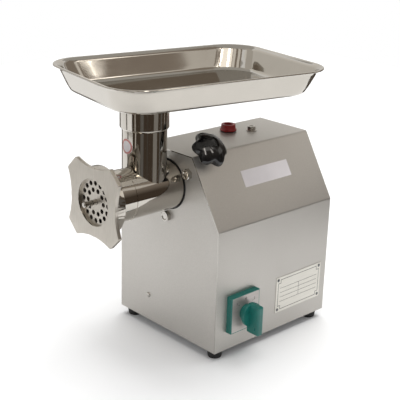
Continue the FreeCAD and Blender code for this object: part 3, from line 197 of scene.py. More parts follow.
class Finish(Graph):
    """A material under construction: a Principled shader and helpers that add detail to it."""

    def __init__(self, name, base, metallic, roughness):
        self.material = bpy.data.materials.new(name)
        super().__init__(self.material)
        self.shader = self.nodes["Principled BSDF"].inputs
        self.base = base
        self.material.diffuse_color = (*base, 1.0)
        self.shader["Base Color"].default_value = (*base, 1.0)
        self.shader["Metallic"].default_value = metallic
        self.shader["Roughness"].default_value = roughness
        self.place = self.node("TexCoord").outputs["Object"]
        self.bump = None

    def noise(self, scale, detail=3.0, stretch=(1, 1, 1)):
        mapping = self.node("Mapping", Scale=stretch)
        self.link(self.place, mapping.inputs["Vector"])
        texture = self.node("TexNoise", Scale=scale, Detail=detail)
        self.link(mapping.outputs["Vector"], texture.inputs["Vector"])
        return texture.outputs["Fac"]

    def cells(self, scale):
        texture = self.node("TexVoronoi", Scale=scale)
        self.link(self.place, texture.inputs["Vector"])
        return texture.outputs["Distance"]

    def bands(self, scale, direction="X", distortion=0.0):
        texture = self.node("TexWave", Scale=scale, Distortion=distortion)
        texture.bands_direction = direction
        self.link(self.place, texture.inputs["Vector"])
        return texture.outputs["Fac"]

    def texture(self, kind, *settings):
        """A noise by its scale and other settings, or another kind by its name and settings."""
        if isinstance(kind, str):
            return getattr(self, kind)(*settings)
        return self.noise(kind, *settings)

    def tint(self, spread, texture, span=SPAN):
        """Vary the base colour by a share either way."""
        ramp = self.node("ValToRGB")
        ends = zip(ramp.color_ramp.elements, span, (1 - spread, 1 + spread))
        for element, position, factor in ends:
            element.position = position
            element.color = (*(min(1.0, channel * factor) for channel in self.base), 1.0)
        self.link(self.texture(*texture), ramp.inputs["Fac"])
        self.link(ramp.outputs["Color"], self.shader["Base Color"])

    def rough(self, low, high, texture):
        """Vary the roughness between two values."""
        mapped = self.node("MapRange", From_Min=SPAN[0], From_Max=SPAN[1], To_Min=low, To_Max=high)
        self.link(self.texture(*texture), mapped.inputs["Value"])
        self.link(mapped.outputs["Result"], self.shader["Roughness"])

    def relief(self, strength, depth, texture):
        """Add fine bumps over those that are there already."""
        bump = self.node("Bump", Strength=strength, Distance=depth)
        self.link(self.texture(*texture), bump.inputs["Height"])
        if self.bump:
            self.link(self.bump, bump.inputs["Normal"])
        self.bump = bump.outputs["Normal"]
        self.link(self.bump, self.shader["Normal"])


# Each finish: material, metallic, roughness; tint as a share and a texture; roughness as its ends
# and a texture; then its reliefs, each a strength, a depth in metres and a texture
FINISHES = {
    "casing": ("casing_satin", 0.75, 0.42, (0.05, (900, 4)), (0.36, 0.46, (7,)),
               (0.05, 0.0002, (1400, 2, (0.25, 1, 1)))),
    "polished": ("polished_steel", 1.0, 0.07, (0.02, (40,)), (0.04, 0.10, (26, 4)),
                 (0.10, 0.0006, (16, 1))),
    "pressed": ("pressed_steel", 1.0, 0.07, (0.02, (40,)), (0.05, 0.12, (26, 4)),
                (0.35, 0.0012, (11, 1, (1, 1, 0.3))), (0.03, 0.0001, (500, 2, (0.1, 1, 1)))),
    "satin": ("satin_steel", 1.0, 0.36, (0.05, (500, 4, (1, 1, 0.15))), (0.30, 0.42, (60,)),
              (0.06, 0.0002, (1600, 2, (1, 1, 0.1)))),
    "bright": ("bright_steel", 1.0, 0.12, (0.04, (200,)), (0.07, 0.17, (120,)),
               (0.04, 0.0002, (900, 2))),
    "shaft": ("ground_steel", 1.0, 0.28, (0.05, (150,)), (0.2, 0.36, (90,)),
              (0.05, 0.0001, ("bands", 900, "X", 2))),
    "zinc": ("zinc_sheet", 0.9, 0.42, (0.12, ("cells", 90), CELL_SPAN), (0.34, 0.5, ("cells", 90)),
             (0.04, 0.0002, (700,))),
    "cast": ("cast_case", 0.8, 0.55, (0.10, (180, 5)), (0.45, 0.65, (60,)),
             (0.35, 0.0006, (600, 5))),
    "iron": ("oiled_iron", 0.9, 0.36, (0.2, (120, 4)), (0.26, 0.48, (50,)),
             (0.15, 0.0002, ("bands", 1000))),
    "copper": ("varnished_winding", 0.6, 0.35, (0.2, (60,)), None,
               (0.7, 0.0008, ("bands", 700, "DIAGONAL", 3))),
    "black": ("black_plastic", 0.0, 0.10, (0.3, (30,)), (0.06, 0.13, (45,)),
              (0.02, 0.0004, (120, 2))),
    "rubber": ("black_rubber", 0.0, 0.72, (0.35, (80, 4)), (0.6, 0.85, (50,)),
               (0.25, 0.0004, (900, 4))),
    "red": ("plug_plastic", 0.0, 0.38, (0.15, (90,)), (0.3, 0.48, (70,)), (0.06, 0.0003, (700,))),
    "green": ("switch_plastic", 0.0, 0.34, (0.12, (110, 4)), (0.27, 0.42, (80,)),
              (0.06, 0.0002, (1100,))),
    "plate": ("brushed_plate", 0.55, 0.36, (0.05, (500, 3, (0.1, 1, 1))), (0.3, 0.42, (40,)),
              (0.05, 0.0001, (1500, 2, (0.06, 1, 1)))),
    "face": ("switch_face", 0.6, 0.38, (0.06, (600, 3, (0.1, 1, 1))), (0.32, 0.44, (40,)),
             (0.05, 0.0001, (1500, 2, (0.06, 1, 1)))),
    "film": ("sticker_film", 0.0, 0.42, (0.03, (50,)), (0.36, 0.5, (90,)), (0.04, 0.0002, (300,))),
    "rose": ("disc_print", 0.0, 0.45, (0.15, (300, 4)), None, (0.03, 0.0002, (600, 2))),
    "ink": ("print_ink", 0.0, 0.55, (0.25, (700,)), None, (0.03, 0.0001, (900, 2))),
    "white": ("white_plastic", 0.0, 0.45, (0.04, (60,)), (0.38, 0.55, (60,)),
              (0.05, 0.0003, (500,))),
}
SAME_COLOUR = {"pressed": "polished"}
COATS = {"copper": 0.4, "red": 0.1, "green": 0.12}


@cache
def finish(name):
    """The material of a finish, made when it is first asked for."""
    material, metallic, roughness, tint, rough, *reliefs = FINISHES[name]
    made = Finish(material, shade(SAME_COLOUR.get(name, name)), metallic, roughness)
    made.shader["Coat Weight"].default_value = COATS.get(name, 0.0)
    made.tint(*tint)
    if rough:
        made.rough(*rough)
    for relief in reliefs:
        made.relief(*relief)
    return made.material


# Helpers for CAD nodes
WELD_REACH = 1e-6
FLAT_ANGLE = radians(0.5)
SHARP_ANGLE = radians(40)


def dress(finish_name, *nodes):
    for node in nodes:
        mesh = NODES[node].data
        mesh.materials.clear()
        mesh.materials.append(finish(finish_name))


def dress_where(node, finish_name, chosen):
    """Give the faces of a CAD node that pass a test a finish of their own."""
    mesh = NODES[node].data
    mesh.materials.append(finish(finish_name))
    for polygon in mesh.polygons:
        if chosen(polygon):
            polygon.material_index = 1


def soften(node, width, segments=3):
    """Soften the sharp edges of a CAD node as it shows, leaving its own mesh alone."""
    piece = NODES[node]
    weld = piece.modifiers.new("weld", "WELD")
    weld.merge_threshold = WELD_REACH
    flat = piece.modifiers.new("flat_faces", "DECIMATE")
    flat.decimate_type = "DISSOLVE"
    flat.angle_limit = FLAT_ANGLE
    bevel = piece.modifiers.new("soft_edges", "BEVEL")
    bevel.width = width
    bevel.segments = segments
    bevel.limit_method = "ANGLE"
    bevel.angle_limit = SHARP_ANGLE
    bevel.harden_normals = True


# Helpers for new meshes
ON_AXIS = 1e-9
SAME_POINT = 1e-7


def turns(steps):
    """Equal directions round a full circle."""
    return [2 * pi * step / steps for step in range(steps)]


def ring(angles, reach, level):
    """Points round an axis. Reach is a radius, or gives one for an angle; level is a height, or
    gives one for a radius."""
    points = []
    for angle in angles:
        radius = reach(angle) if callable(reach) else reach
        height = level(radius) if callable(level) else level
        points.append((radius * cos(angle), radius * sin(angle), height))
    return points


def placed(matrix, rows):
    return [[matrix @ Vector(point) for point in row] for row in rows]


class Shape:
    """Vertices and faces that grow piece by piece."""

    def __init__(self):
        self.points = []
        self.faces = []

    def loops(self, rows, closed=True):
        """Skin equally long rows of points; a row of one point closes the skin to a tip."""
        ids = []
        for row in rows:
            ids.append([len(self.points) + step for step in range(len(row))])
            self.points.extend(Vector(point) for point in row)
        for lower, upper in zip(ids, ids[1:]):
            count = max(len(lower), len(upper))
            for step in range(count if closed else count - 1):
                after = (step + 1) % count
                if len(lower) == 1:
                    self.faces.append((lower[0], upper[after], upper[step]))
                elif len(upper) == 1:
                    self.faces.append((lower[step], lower[after], upper[0]))
                else:
                    self.faces.append((lower[step], lower[after], upper[after], upper[step]))
        return ids

    def hose(self, rows):
        """Skin rows into a closed hose whose last row meets its first."""
        self.loops(rows + rows[:1])

    def turn(self, profile, matrix, steps=None):
        """Turn a profile of radius and height points about Z, closed where it ends on the axis."""
        angles = turns(steps or sizes().lathe_steps)
        rows = []
        for radius, height in profile:
            tip = radius < ON_AXIS
            rows.append([(0.0, 0.0, height)] if tip else ring(angles, radius, height))
        ends_open = len(rows[0]) > 1 and len(rows[-1]) > 1
        skin = self.hose if ends_open else self.loops
        skin(placed(matrix, rows))

    def stroke(self, x0, y0, x1, y1, width, thickness, matrix):
        """A thin printed line on local Z zero; its ends, width and thickness are in millimetres."""
        run = Vector((x1 - x0, y1 - y0))
        x, y = Vector((-run.y, run.x)).normalized() * width / 2
        outline = ((x0 - x, y0 - y), (x1 - x, y1 - y), (x1 + x, y1 + y), (x0 + x, y0 + y))
        rows = [[(a * MM, b * MM, z * MM) for a, b in outline] for z in (0.0, thickness)]
        lower, upper = self.loops(placed(matrix, rows))
        self.faces.append(tuple(reversed(lower)))
        self.faces.append(tuple(upper))

    def piece(self, name, finish_name, body, replaces=(), slot=None, sharp=35.0):
        """Make the object; edges sharper than an angle in degrees stay sharp."""
        mesh = bpy.data.meshes.new(name)
        mesh.from_pydata(self.points, [], self.faces)
        work = bmesh.new()
        work.from_mesh(mesh)
        bmesh.ops.remove_doubles(work, verts=work.verts, dist=SAME_POINT)
        bmesh.ops.recalc_face_normals(work, faces=work.faces)
        work.to_mesh(mesh)
        work.free()
        mesh.shade_smooth()
        mesh.set_sharp_from_angle(angle=radians(sharp))
        mesh.materials.append(finish(finish_name))
        made = bpy.data.objects.new(name, mesh)
        show(made)
        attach(made, body)
        if replaces:
            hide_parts(*replaces)


def rounded_profile(profile, radius, steps=4):
    """Round the inner corners of a profile of points with arcs of at most the given radius."""
    straight = 0.05
    share_of_side = 0.45
    made = [profile[0]]
    for before, corner, after in zip(profile, profile[1:], profile[2:]):
        here = Vector(corner)
        back = Vector(before) - here
        ahead = Vector(after) - here
        half = back.angle(ahead, 0.0) / 2
        if half < straight or half > pi / 2 - straight:
            made.append(corner)
            continue
        longest = min(back.length, ahead.length) * share_of_side
        reach = min(radius / tan(half), longest)
        curve = reach * tan(half)
        to_middle = (back.normalized() + ahead.normalized()).normalized()
        middle = here + to_middle * (curve / sin(half))
        start = here + back.normalized() * reach - middle
        end = here + ahead.normalized() * reach - middle
        for step in range(steps + 1):
            made.append(tuple(middle + start.slerp(end, step / steps) * curve))
    made.append(profile[-1])
    return made


def along(direction, origin):
    """A matrix that stands local Z along a direction, with local X kept along X where it can be."""
    up = Vector(direction).normalized()
    side = Vector((1, 0, 0)) if abs(up.x) < 0.9 else Vector((0, 1, 0))
    front = up.cross(side).normalized()
    side = front.cross(up)
    made = Matrix((side, front, up)).transposed().to_4x4()
    made.translation = Vector(origin)
    return made


def hexagon(flat):
    """Gives the reach of a hexagon at an angle, from half its width across flats."""
    sector = pi / 3
    return lambda angle: flat / cos((angle + sector / 2) % sector - sector / 2)


def hex_bolt(shape, across, height, shank, shank_length, matrix):
    """A hexagon bolt: above local Z zero a head with a turned chamfer and a dished top, below it
    the shank."""
    angles = turns(36)
    side = hexagon(across / 2)
    crown = across / 2 * 0.94
    slope = tan(radians(28))
    dish = ((1.0, 0.0), (0.78, 0.0), (0.72, 0.03), (0.62, 0.12), (0.55, 0.15), (0.3, 0.13))
    rows = [[(0.0, 0.0, -shank_length)],
            ring(angles, shank, -shank_length),
            ring(angles, shank, 0.0),
            ring(angles, side, 0.0),
            ring(angles, side, lambda radius: height - (radius - crown) * slope)]
    rows += [ring(angles, crown * share, height * (1 - sink)) for share, sink in dish]
    rows.append([(0.0, 0.0, height * 0.88)])
    shape.loops(placed(matrix, rows))


class PieceOperator(bpy.types.Operator):
    """Base of the operators."""

    bl_options = {"REGISTER", "UNDO"}


CUT_EDGE = 0.9  # share of a face's normal along X on the sheet's cut edges


class GRINDER_OT_casing(PieceOperator):
    """Dress the bent casing, its end panels and the base plate"""

    bl_idname = "grinder.casing"
    bl_label = "Casing"

    def execute(self, context):
        dress("casing", "casing_wrap", "head_end_panel", "rear_end_panel")
        dress_where("casing_wrap", "bright", lambda face: abs(face.normal.x) > CUT_EDGE)
        dress("zinc", "base_plate")
        return {"FINISHED"}


CORNER_STEPS = 12
SIDE_STEPS = 14
FOLD_STEPS = 8


def tray_loop(shrink, corner, height):
    """A rounded rectangle of the tray at one height, about the throat's axis."""
    size = sizes()
    half_x = size.tray_length / 2 - shrink - corner
    half_y = size.tray_width / 2 - shrink - corner
    middles = [Vector((a * half_x, b * half_y)) for a, b in ((1, -1), (1, 1), (-1, 1), (-1, -1))]
    points = []
    for index, middle in enumerate(middles):
        following = middles[(index + 1) % 4]
        spokes = []
        for step in range(CORNER_STEPS + 1):
            angle = (index - 1 + step / CORNER_STEPS) * pi / 2
            spokes.append(corner * Vector((cos(angle), sin(angle))))
        points += [middle + spoke for spoke in spokes[:-1]]
        for step in range(SIDE_STEPS):
            points.append(middle.lerp(following, step / SIDE_STEPS) + spokes[-1])
    return [(size.tray_offset + point.x, point.y, height) for point in points]


def throat_loop(radius, height, guide):
    """A circle about the throat with its points in the same directions as those of a guide loop."""
    return ring([atan2(y, x) for x, y, _ in guide], radius, height)


def tray_side(inset):
    """Loops of one side of the tray's sheet, from the floor to just under the rim."""
    size = sizes()
    radius = size.tray_round - inset
    slope = atan2(size.tray_depth, size.tray_flare)
    rim = inset + size.tray_lip
    loops = []
    for step in range(FOLD_STEPS + 1):
        angle = slope * step / FOLD_STEPS
        inwards = radius * (tan(slope / 2) - sin(angle))
        corner = size.tray_floor_corner - inset - inwards
        height = inset + radius * (1 - cos(angle))
        loops.append(tray_loop(rim + size.tray_flare + inwards, corner, height))
    widening = size.tray_rim_corner - size.tray_floor_corner
    for share in (0.3, 0.55, 0.8, 0.9):
        corner = size.tray_floor_corner + widening * share - inset
        shrink = rim + size.tray_flare * (1 - share)
        loops.append(tray_loop(shrink, corner, inset + size.tray_depth * share))
    return loops


class GRINDER_OT_tray(PieceOperator):
    """Make the polished feed tray with its rolled rim and the skirt that sits on the throat"""

    bl_idname = "grinder.tray"
    bl_label = "Feed tray"

    def execute(self, context):
        size = sizes()
        inner = tray_side(size.tray_sheet)
        outer = tray_side(0.0)[::-1]
        guide = inner[0]
        corner = size.tray_rim_corner + size.tray_lip
        hem = MM
        rim = []
        for shrink, drop in ((4.6, 0.9), (3.6, 0.3), (2.2, 0.0), (1.0, 0.0), (0.3, 0.3),
                             (0.0, 1.0), (0.3, 1.7), (1.0, 2.0), (2.6, 2.0), (4.4, 2.3)):
            shrink *= MM
            rim.append(tray_loop(shrink, corner - shrink, size.tray_depth - drop * MM))
        skirt = size.skirt_radius
        seat = skirt - size.skirt_wall
        low = -size.skirt_height
        bevel = low + size.skirt_bevel
        circles = ((skirt + hem, 0.0), (skirt + 0.3 * hem, -0.3 * hem), (skirt, -hem),
                   (skirt, -1.4 * hem), (skirt, bevel + 0.6 * hem), (skirt - 0.1 * hem, bevel),
                   (skirt - 0.5 * hem, bevel - 0.5 * hem), (seat + 0.9 * hem, low), (seat, low),
                   (seat, -0.2 * hem), (size.throat_bore, -0.2 * hem))
        rows = [throat_loop(size.throat_bore, size.tray_sheet, guide)]
        rows += inner + rim + outer
        rows += [throat_loop(radius, height, guide) for radius, height in circles]
        turn = Matrix.Rotation(size.tray_yaw, 4, "Z")
        stand = Matrix.Translation((THROAT_X, 0.0, TRAY_Z)) @ turn
        shape = Shape()
        shape.hose(placed(stand, rows))
        shape.piece("polished_tray", "pressed", "tray", ["feed_tray"], "polished_steel", 50.0)
        return {"FINISHED"}


class GRINDER_OT_head(PieceOperator):
    """Dress the polished head, the ring nut, the grinding plate and the pieces that turn inside"""

    bl_idname = "grinder.head"
    bl_label = "Grinder head"

    def execute(self, context):
        dress("polished", "grinder_head")
        dress("satin", "grinding_plate", "knife", "worm", "ring_nut")
        stand = NODES["ring_nut"].matrix_world
        star_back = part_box("ring_nut")[0].x + 6 * MM
        bore = 31 * MM

        def turned(face):
            """Whether a face lies on the collar behind the star or in the opening."""
            middle = stand @ face.center
            return middle.x > star_back or hypot(middle.y, middle.z - AXIS_Z) < bore

        dress_where("ring_nut", "polished", turned)
        soften("ring_nut", sizes().edge * 1.6)
        dress("white", "thrust_washer")
        return {"FINISHED"}


class GRINDER_OT_worm_pin(PieceOperator):
    """Turn the worm's straight front pin with its groove and its flat, bevelled end"""

    bl_idname = "grinder.worm_pin"
    bl_label = "Worm pin"

    def execute(self, context):
        low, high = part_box("worm_pin")
        radius = (high.z - low.z) / 2
        span = high.x - low.x
        bevel = 0.7 * MM
        groove, rim = span - 6.5 * MM, span - 5.5 * MM
        neck = radius - bevel / 2
        profile = [(0.0, 0.0), (radius, 0.0), (radius, groove), (neck, groove), (neck, rim),
                   (radius, rim), (radius, span - bevel), (radius - bevel, span), (0.0, span)]
        stand = along((-1, 0, 0), (high.x, 0, AXIS_Z))
        shape = Shape()
        shape.turn(rounded_profile(profile, 0.2 * MM), stand)
        shape.piece("turned_worm_pin", "bright", "worm_drive", ["worm_pin"], "satin_steel")
        return {"FINISHED"}


class GRINDER_OT_lock(PieceOperator):
    """Make the six-lobed lock knob and dress its stud"""

    bl_idname = "grinder.lock"
    bl_label = "Lock screw"

    def execute(self, context):
        dress("shaft", "lock_stud")
        angles = turns(144)
        crown = 33 * MM
        top = 22.6 * MM
        mean = 22.4 * MM
        socket = 17.0
        turned_by = radians(100)

        def lobe(angle):
            """How far the outline stands out from a circle."""
            return (2.4 * cos(6 * angle) - 0.2 * cos(12 * angle)) * MM

        def dome(radius):
            """Height of the round crown that the lobes share."""
            return top - crown + sqrt(crown * crown - radius * radius)

        def outline(inwards, level):
            return ring(angles, lambda a: mean + lobe(a) - inwards * MM, level)

        rows = [[(0.0, 0.0, top)]]
        for share, lobes in ((0.1, 0.0), (0.2, 0.0), (0.3, 0.0), (0.4, 0.0), (0.5, 0.0),
                             (0.58, 0.05), (0.66, 0.2), (0.75, 0.45), (0.84, 0.78), (0.91, 1.0)):
            rows.append(ring(angles, lambda a: share * (mean + lobes * lobe(a)), dome))
        for inwards, drop in ((1.35, 0.25), (0.85, 0.7), (0.4, 1.4), (0.1, 2.4), (0.0, 3.6)):
            rows.append(outline(inwards, lambda radius: dome(radius) - drop * MM))
        for inwards, height in ((0.0, 7.4), (0.25, 6.6), (0.9, 5.8), (2.0, 5.2), (3.2, 5.0)):
            rows.append(outline(inwards, height * MM))
        for radius, height in ((11.0, 4.8), (9.4, 4.2), (9.0, 3.4), (9.0, 0.5), (8.5, 0.0),
                               (5.1, 0.0), (5.1, socket)):
            rows.append(ring(angles, radius * MM, height * MM))
        rows.append([(0.0, 0.0, socket * MM)])
        joint = named(frame["joints"], "lock_turn")
        stand = along(joint["axis"], joint["pos_m"]) @ Matrix.Rotation(turned_by, 4, "Z")
        shape = Shape()
        shape.loops(placed(stand, rows))
        shape.piece("lobed_lock_knob", "black", "lock_handle", ["lock_knob"], "black_plastic", 60.0)
        return {"FINISHED"}


class GRINDER_OT_filler(PieceOperator):
    """Turn the oil filler plug and dress its sealing ring"""

    bl_idname = "grinder.filler"
    bl_label = "Filler plug"

    def execute(self, context):
        middle = centre_of("filler_plug")
        stand = along((0, 0, 1), (middle.x, middle.y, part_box("filler_seal")[1].z))
        profile = [(0.0, -9.0), (6.6, -9.0), (6.95, -8.4), (6.95, -0.5), (6.95, 0.0), (11.5, 0.0),
                   (11.5, 2.0), (10.4, 2.6), (9.9, 5.0), (9.7, 7.6), (9.9, 8.4), (9.2, 9.0),
                   (6.6, 9.0), (6.0, 8.4), (5.8, 4.0), (0.0, 4.0)]
        scaled = [(radius * MM, height * MM) for radius, height in profile]
        shape = Shape()
        shape.turn(rounded_profile(scaled, 0.7 * MM), stand)
        shape.piece("turned_filler_plug", "red", "plug", ["filler_plug"], "red_plastic", 50.0)
        dress("rubber", "filler_seal")
        return {"FINISHED"}


class GRINDER_OT_bolts(PieceOperator):
    """Make the bolts and screws that show, and dress the rest"""

    bl_idname = "grinder.bolts"
    bl_label = "Bolts and screws"

    def execute(self, context):
        self.flange_bolts()
        self.top_bolt()
        self.earth_screw()
        dress("bright", "foot_screws", "gearbox_cover_screws", "motor_tie_bolts", "earth_nut")
        return {"FINISHED"}

    def flange_bolts(self):
        low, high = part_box("flange_bolts")
        panel_x = WRAP_LOW.x
        circle = 44 * MM
        flange = Shape()
        for angle in (-90, 30, 150):
            y = circle * cos(radians(angle))
            z = AXIS_Z + circle * sin(radians(angle))
            stand = along((-1, 0, 0), (panel_x, y, z))
            hex_bolt(flange, 13 * MM, panel_x - low.x, 4 * MM, high.x - panel_x, stand)
        flange.piece("hex_flange_bolts", "bright", "housing", ["flange_bolts"], "bright_steel",
                     25.0)

    def top_bolt(self):
        low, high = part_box("top_washer")
        middle = (low + high) / 2
        bolt_low, bolt_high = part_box("top_bolt")
        stand = along((0, 0, 1), (middle.x, middle.y, high.z))
        top = Shape()
        hex_bolt(top, 10 * MM, bolt_high.z - high.z, 3 * MM, high.z - bolt_low.z, stand)
        top.piece("hex_top_bolt", "bright", "housing", ["top_bolt"], "bright_steel", 25.0)

        outer = (high.x - low.x) / 2
        hole = 3.2 * MM
        thick = high.z - low.z
        profile = [(hole, thick / 2), (hole, 0.0), (outer, 0.0), (outer, thick), (hole, thick),
                   (hole, thick / 2)]
        stand = along((0, 0, 1), (middle.x, middle.y, low.z))
        washer = Shape()
        washer.turn(rounded_profile(profile, 0.3 * MM)[:-1], stand)
        washer.piece("round_top_washer", "bright", "housing", ["top_washer"], "bright_steel", 40.0)

    def earth_screw(self):
        low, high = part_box("earth_screw")
        middle = (low + high) / 2
        radius = (high.y - low.y) / 2
        rise = WRAP_LOW.x - low.x
        shank_end = WRAP_LOW.x - high.x
        profile = [(0.0, shank_end), (2 * MM, shank_end), (2 * MM, 0.0), (radius, 0.0)]
        for share, height in ((1.0, 0.25), (0.86, 0.62), (0.6, 0.86), (0.3, 0.97), (0.0, 1.0)):
            profile.append((radius * share, rise * height))
        stand = along((-1, 0, 0), (WRAP_LOW.x, middle.y, middle.z))
        earth = Shape()
        earth.turn(profile, stand)
        earth.piece("domed_earth_screw", "bright", "housing", ["earth_screw"], "bright_steel", 40.0)


class GRINDER_OT_rubber(PieceOperator):
    """Turn the rubber feet and dress the seals"""

    bl_idname = "grinder.rubber"
    bl_label = "Feet and seals"

    def execute(self, context):
        low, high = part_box("rubber_feet")
        radius = 10 * MM
        height = (high.z - low.z) / MM
        outline = [(2.1, 8), (2.1, 5), (5, 5), (5, 0), (8.8, 0), (9.6, 6), (10, 8), (10, height),
                   (2.1, height), (2.1, 8)]
        profile = rounded_profile([(x * MM, z * MM) for x, z in outline], 0.9 * MM)[:-1]
        feet = Shape()
        for x in (low.x + radius, high.x - radius):
            for y in (low.y + radius, high.y - radius):
                feet.turn(profile, along((0, 0, 1), (x, y, low.z)))
        feet.piece("moulded_feet", "rubber", "housing", ["rubber_feet"], "black_rubber", 45.0)
        dress("rubber", "neck_seal", "oil_seal")
        soften("neck_seal", 0.5 * MM)
        return {"FINISHED"}


def front_stand(centre, face_y):
    """A matrix with X and Y on the control face, seen from the front, and Z pointing out of it."""
    made = Matrix(((1, 0, 0), (0, 0, -1), (0, 1, 0))).to_4x4()
    made.translation = Vector((centre.x, face_y, centre.z))
    return made


class GRINDER_OT_switch(PieceOperator):
    """Dress the rotary switch and print plain position marks on its face"""

    bl_idname = "grinder.switch"
    bl_label = "Rotary switch"

    def execute(self, context):
        dress("green", "switch_bezel", "switch_knob")
        dress("face", "switch_face_plate")
        dress("black", "switch_body")
        dress("shaft", "switch_shaft")
        soften("switch_knob", 0.6 * MM)
        stand = front_stand(centre_of("switch_face_plate"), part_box("switch_face_plate")[0].y)
        inner, outer, width, thickness = 17, 18.6, 0.7, 0.05
        marks = Shape()
        for angle in (45, 90, 135):
            c, s = cos(radians(angle)), sin(radians(angle))
            marks.stroke(inner * c, inner * s, outer * c, outer * s, width, thickness, stand)
        marks.piece("switch_ticks", "ink", "housing")
        for text, x, y in (("1", -15.6, 14.6), ("0", 0.0, 19.2), ("2", 15.6, 14.6)):
            self.number(text, x * MM, y * MM, stand)
        return {"FINISHED"}

    def number(self, text, x, y, stand):
        """Print one plain number at a place on the face."""
        curve = bpy.data.curves.new("switch_number", "FONT")
        curve.body = text
        curve.size = 5.0 * MM
        curve.extrude = 0.03 * MM
        curve.align_x = "CENTER"
        curve.align_y = "CENTER"
        lettering = bpy.data.objects.new("switch_number_draft", curve)
        show(lettering)
        bpy.context.view_layer.update()
        mesh = bpy.data.meshes.new_from_object(lettering)
        bpy.data.objects.remove(lettering)
        mesh.transform(stand @ Matrix.Translation((x, y, 0.03 * MM)))
        mesh.materials.clear()
        mesh.materials.append(finish("ink"))
        made = bpy.data.objects.new("switch_number_" + text, mesh)
        show(made)
        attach(made, "housing")


class GRINDER_OT_rating_plate(PieceOperator):
    """Dress the rating plate, rule it with blank lines and dome its rivets"""

    bl_idname = "grinder.rating_plate"
    bl_label = "Rating plate"

    def execute(self, context):
        dress("plate", "rating_plate")
        soften("rating_plate", 0.15 * MM, 2)
        low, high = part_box("rating_plate")
        self.rules(low, high)
        self.rivets(low.y)
        return {"FINISHED"}

    def rules(self, low, high):
        """Print a border with notched corners and a table of empty lines, in millimetres."""
        margin, notch, border, line, thickness = 4.0, 5.0, 0.7, 0.5, 0.06
        half_x = (high.x - low.x) / 2 / MM - margin
        half_y = (high.z - low.z) / 2 / MM - margin
        x, y = half_x - notch, half_y - notch
        corners = [(x, half_y), (-x, half_y), (-x, y), (-half_x, y), (-half_x, -y), (-x, -y),
                   (-x, -half_y), (x, -half_y), (x, -y), (half_x, -y), (half_x, y), (x, y)]
        levels = [half_y * share for share in (0.42, 0.12, -0.18, -0.48)]
        stand = front_stand((low + high) / 2, low.y)
        rules = Shape()
        for start, end in zip(corners, corners[1:] + corners[:1]):
            rules.stroke(*start, *end, border, thickness, stand)
        for level in levels:
            rules.stroke(margin - half_x, level, half_x - margin, level, line, thickness, stand)
        rules.stroke(0, levels[0], 0, levels[-1], line, thickness, stand)
        rules.piece("rating_plate_rules", "ink", "housing")

    def rivets(self, face_y):
        low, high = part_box("rating_plate_rivets")
        head = 2.2 * MM
        shank, depth = 1.2 * MM, -2.4 * MM
        profile = [(0.0, depth), (shank, depth), (shank, 0.0)]
        for share, height in ((1.0, 0.0), (0.95, 0.3), (0.7, 0.62), (0.35, 0.76), (0.0, 0.8)):
            profile.append((head * share, height * MM))
        rivets = Shape()
        for x in (low.x + head, high.x - head):
            for z in (low.z + head, high.z - head):
                rivets.turn(profile, front_stand(Vector((x, 0, z)), face_y), 32)
        rivets.piece("domed_rivets", "iron", "housing", ["rating_plate_rivets"], "plate_aluminium",
                     45.0)


class GRINDER_OT_stickers(PieceOperator):
    """Dress the two bare stickers and print the round one's plain rim"""

    bl_idname = "grinder.stickers"
    bl_label = "Stickers"

    def execute(self, context):
        dress("film", "slope_sticker", "throat_sticker")
        low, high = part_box("throat_sticker")
        radius = (high.z - low.z) / 2
        middle_z = (low.z + high.z) / 2
        surface = THROAT_X - low.x
        thickness = 0.04 * MM
        rows = []
        for share, lift in ((0.98, 0.0), (0.98, thickness), (0.74, thickness), (0.74, 0.0)):
            row = []
            for y, z, _ in ring(turns(48), radius * share, 0.0):
                x = sqrt((surface + lift) ** 2 - y * y)
                row.append((THROAT_X - x, y, middle_z + z))
            rows.append(row)
        edge = Shape()
        edge.hose(rows)
        edge.piece("disc_sticker_rim", "rose", "head")
        return {"FINISHED"}


class GRINDER_OT_drive(PieceOperator):
    """Dress the gearbox, motor and wiring inside the casing"""

    bl_idname = "grinder.drive"
    bl_label = "Drive inside"

    def execute(self, context):
        dress("cast", "gearbox_housing", "gearbox_cover", "motor_front_shield",
              "motor_rear_shield")
        dress("shaft", "output_shaft", "middle_shaft", "motor_shaft", "output_bearings",
              "middle_bearings", "motor_bearings")
        dress("iron", "output_gear", "middle_gear", "motor_pinion", "rotor_core", "stator_core")
        dress("copper", "stator_windings")
        dress("black", "cooling_fan", "terminal_block", "gland_nut")
        dress("white", "start_capacitor")
        dress("zinc", "capacitor_clamp")
        return {"FINISHED"}


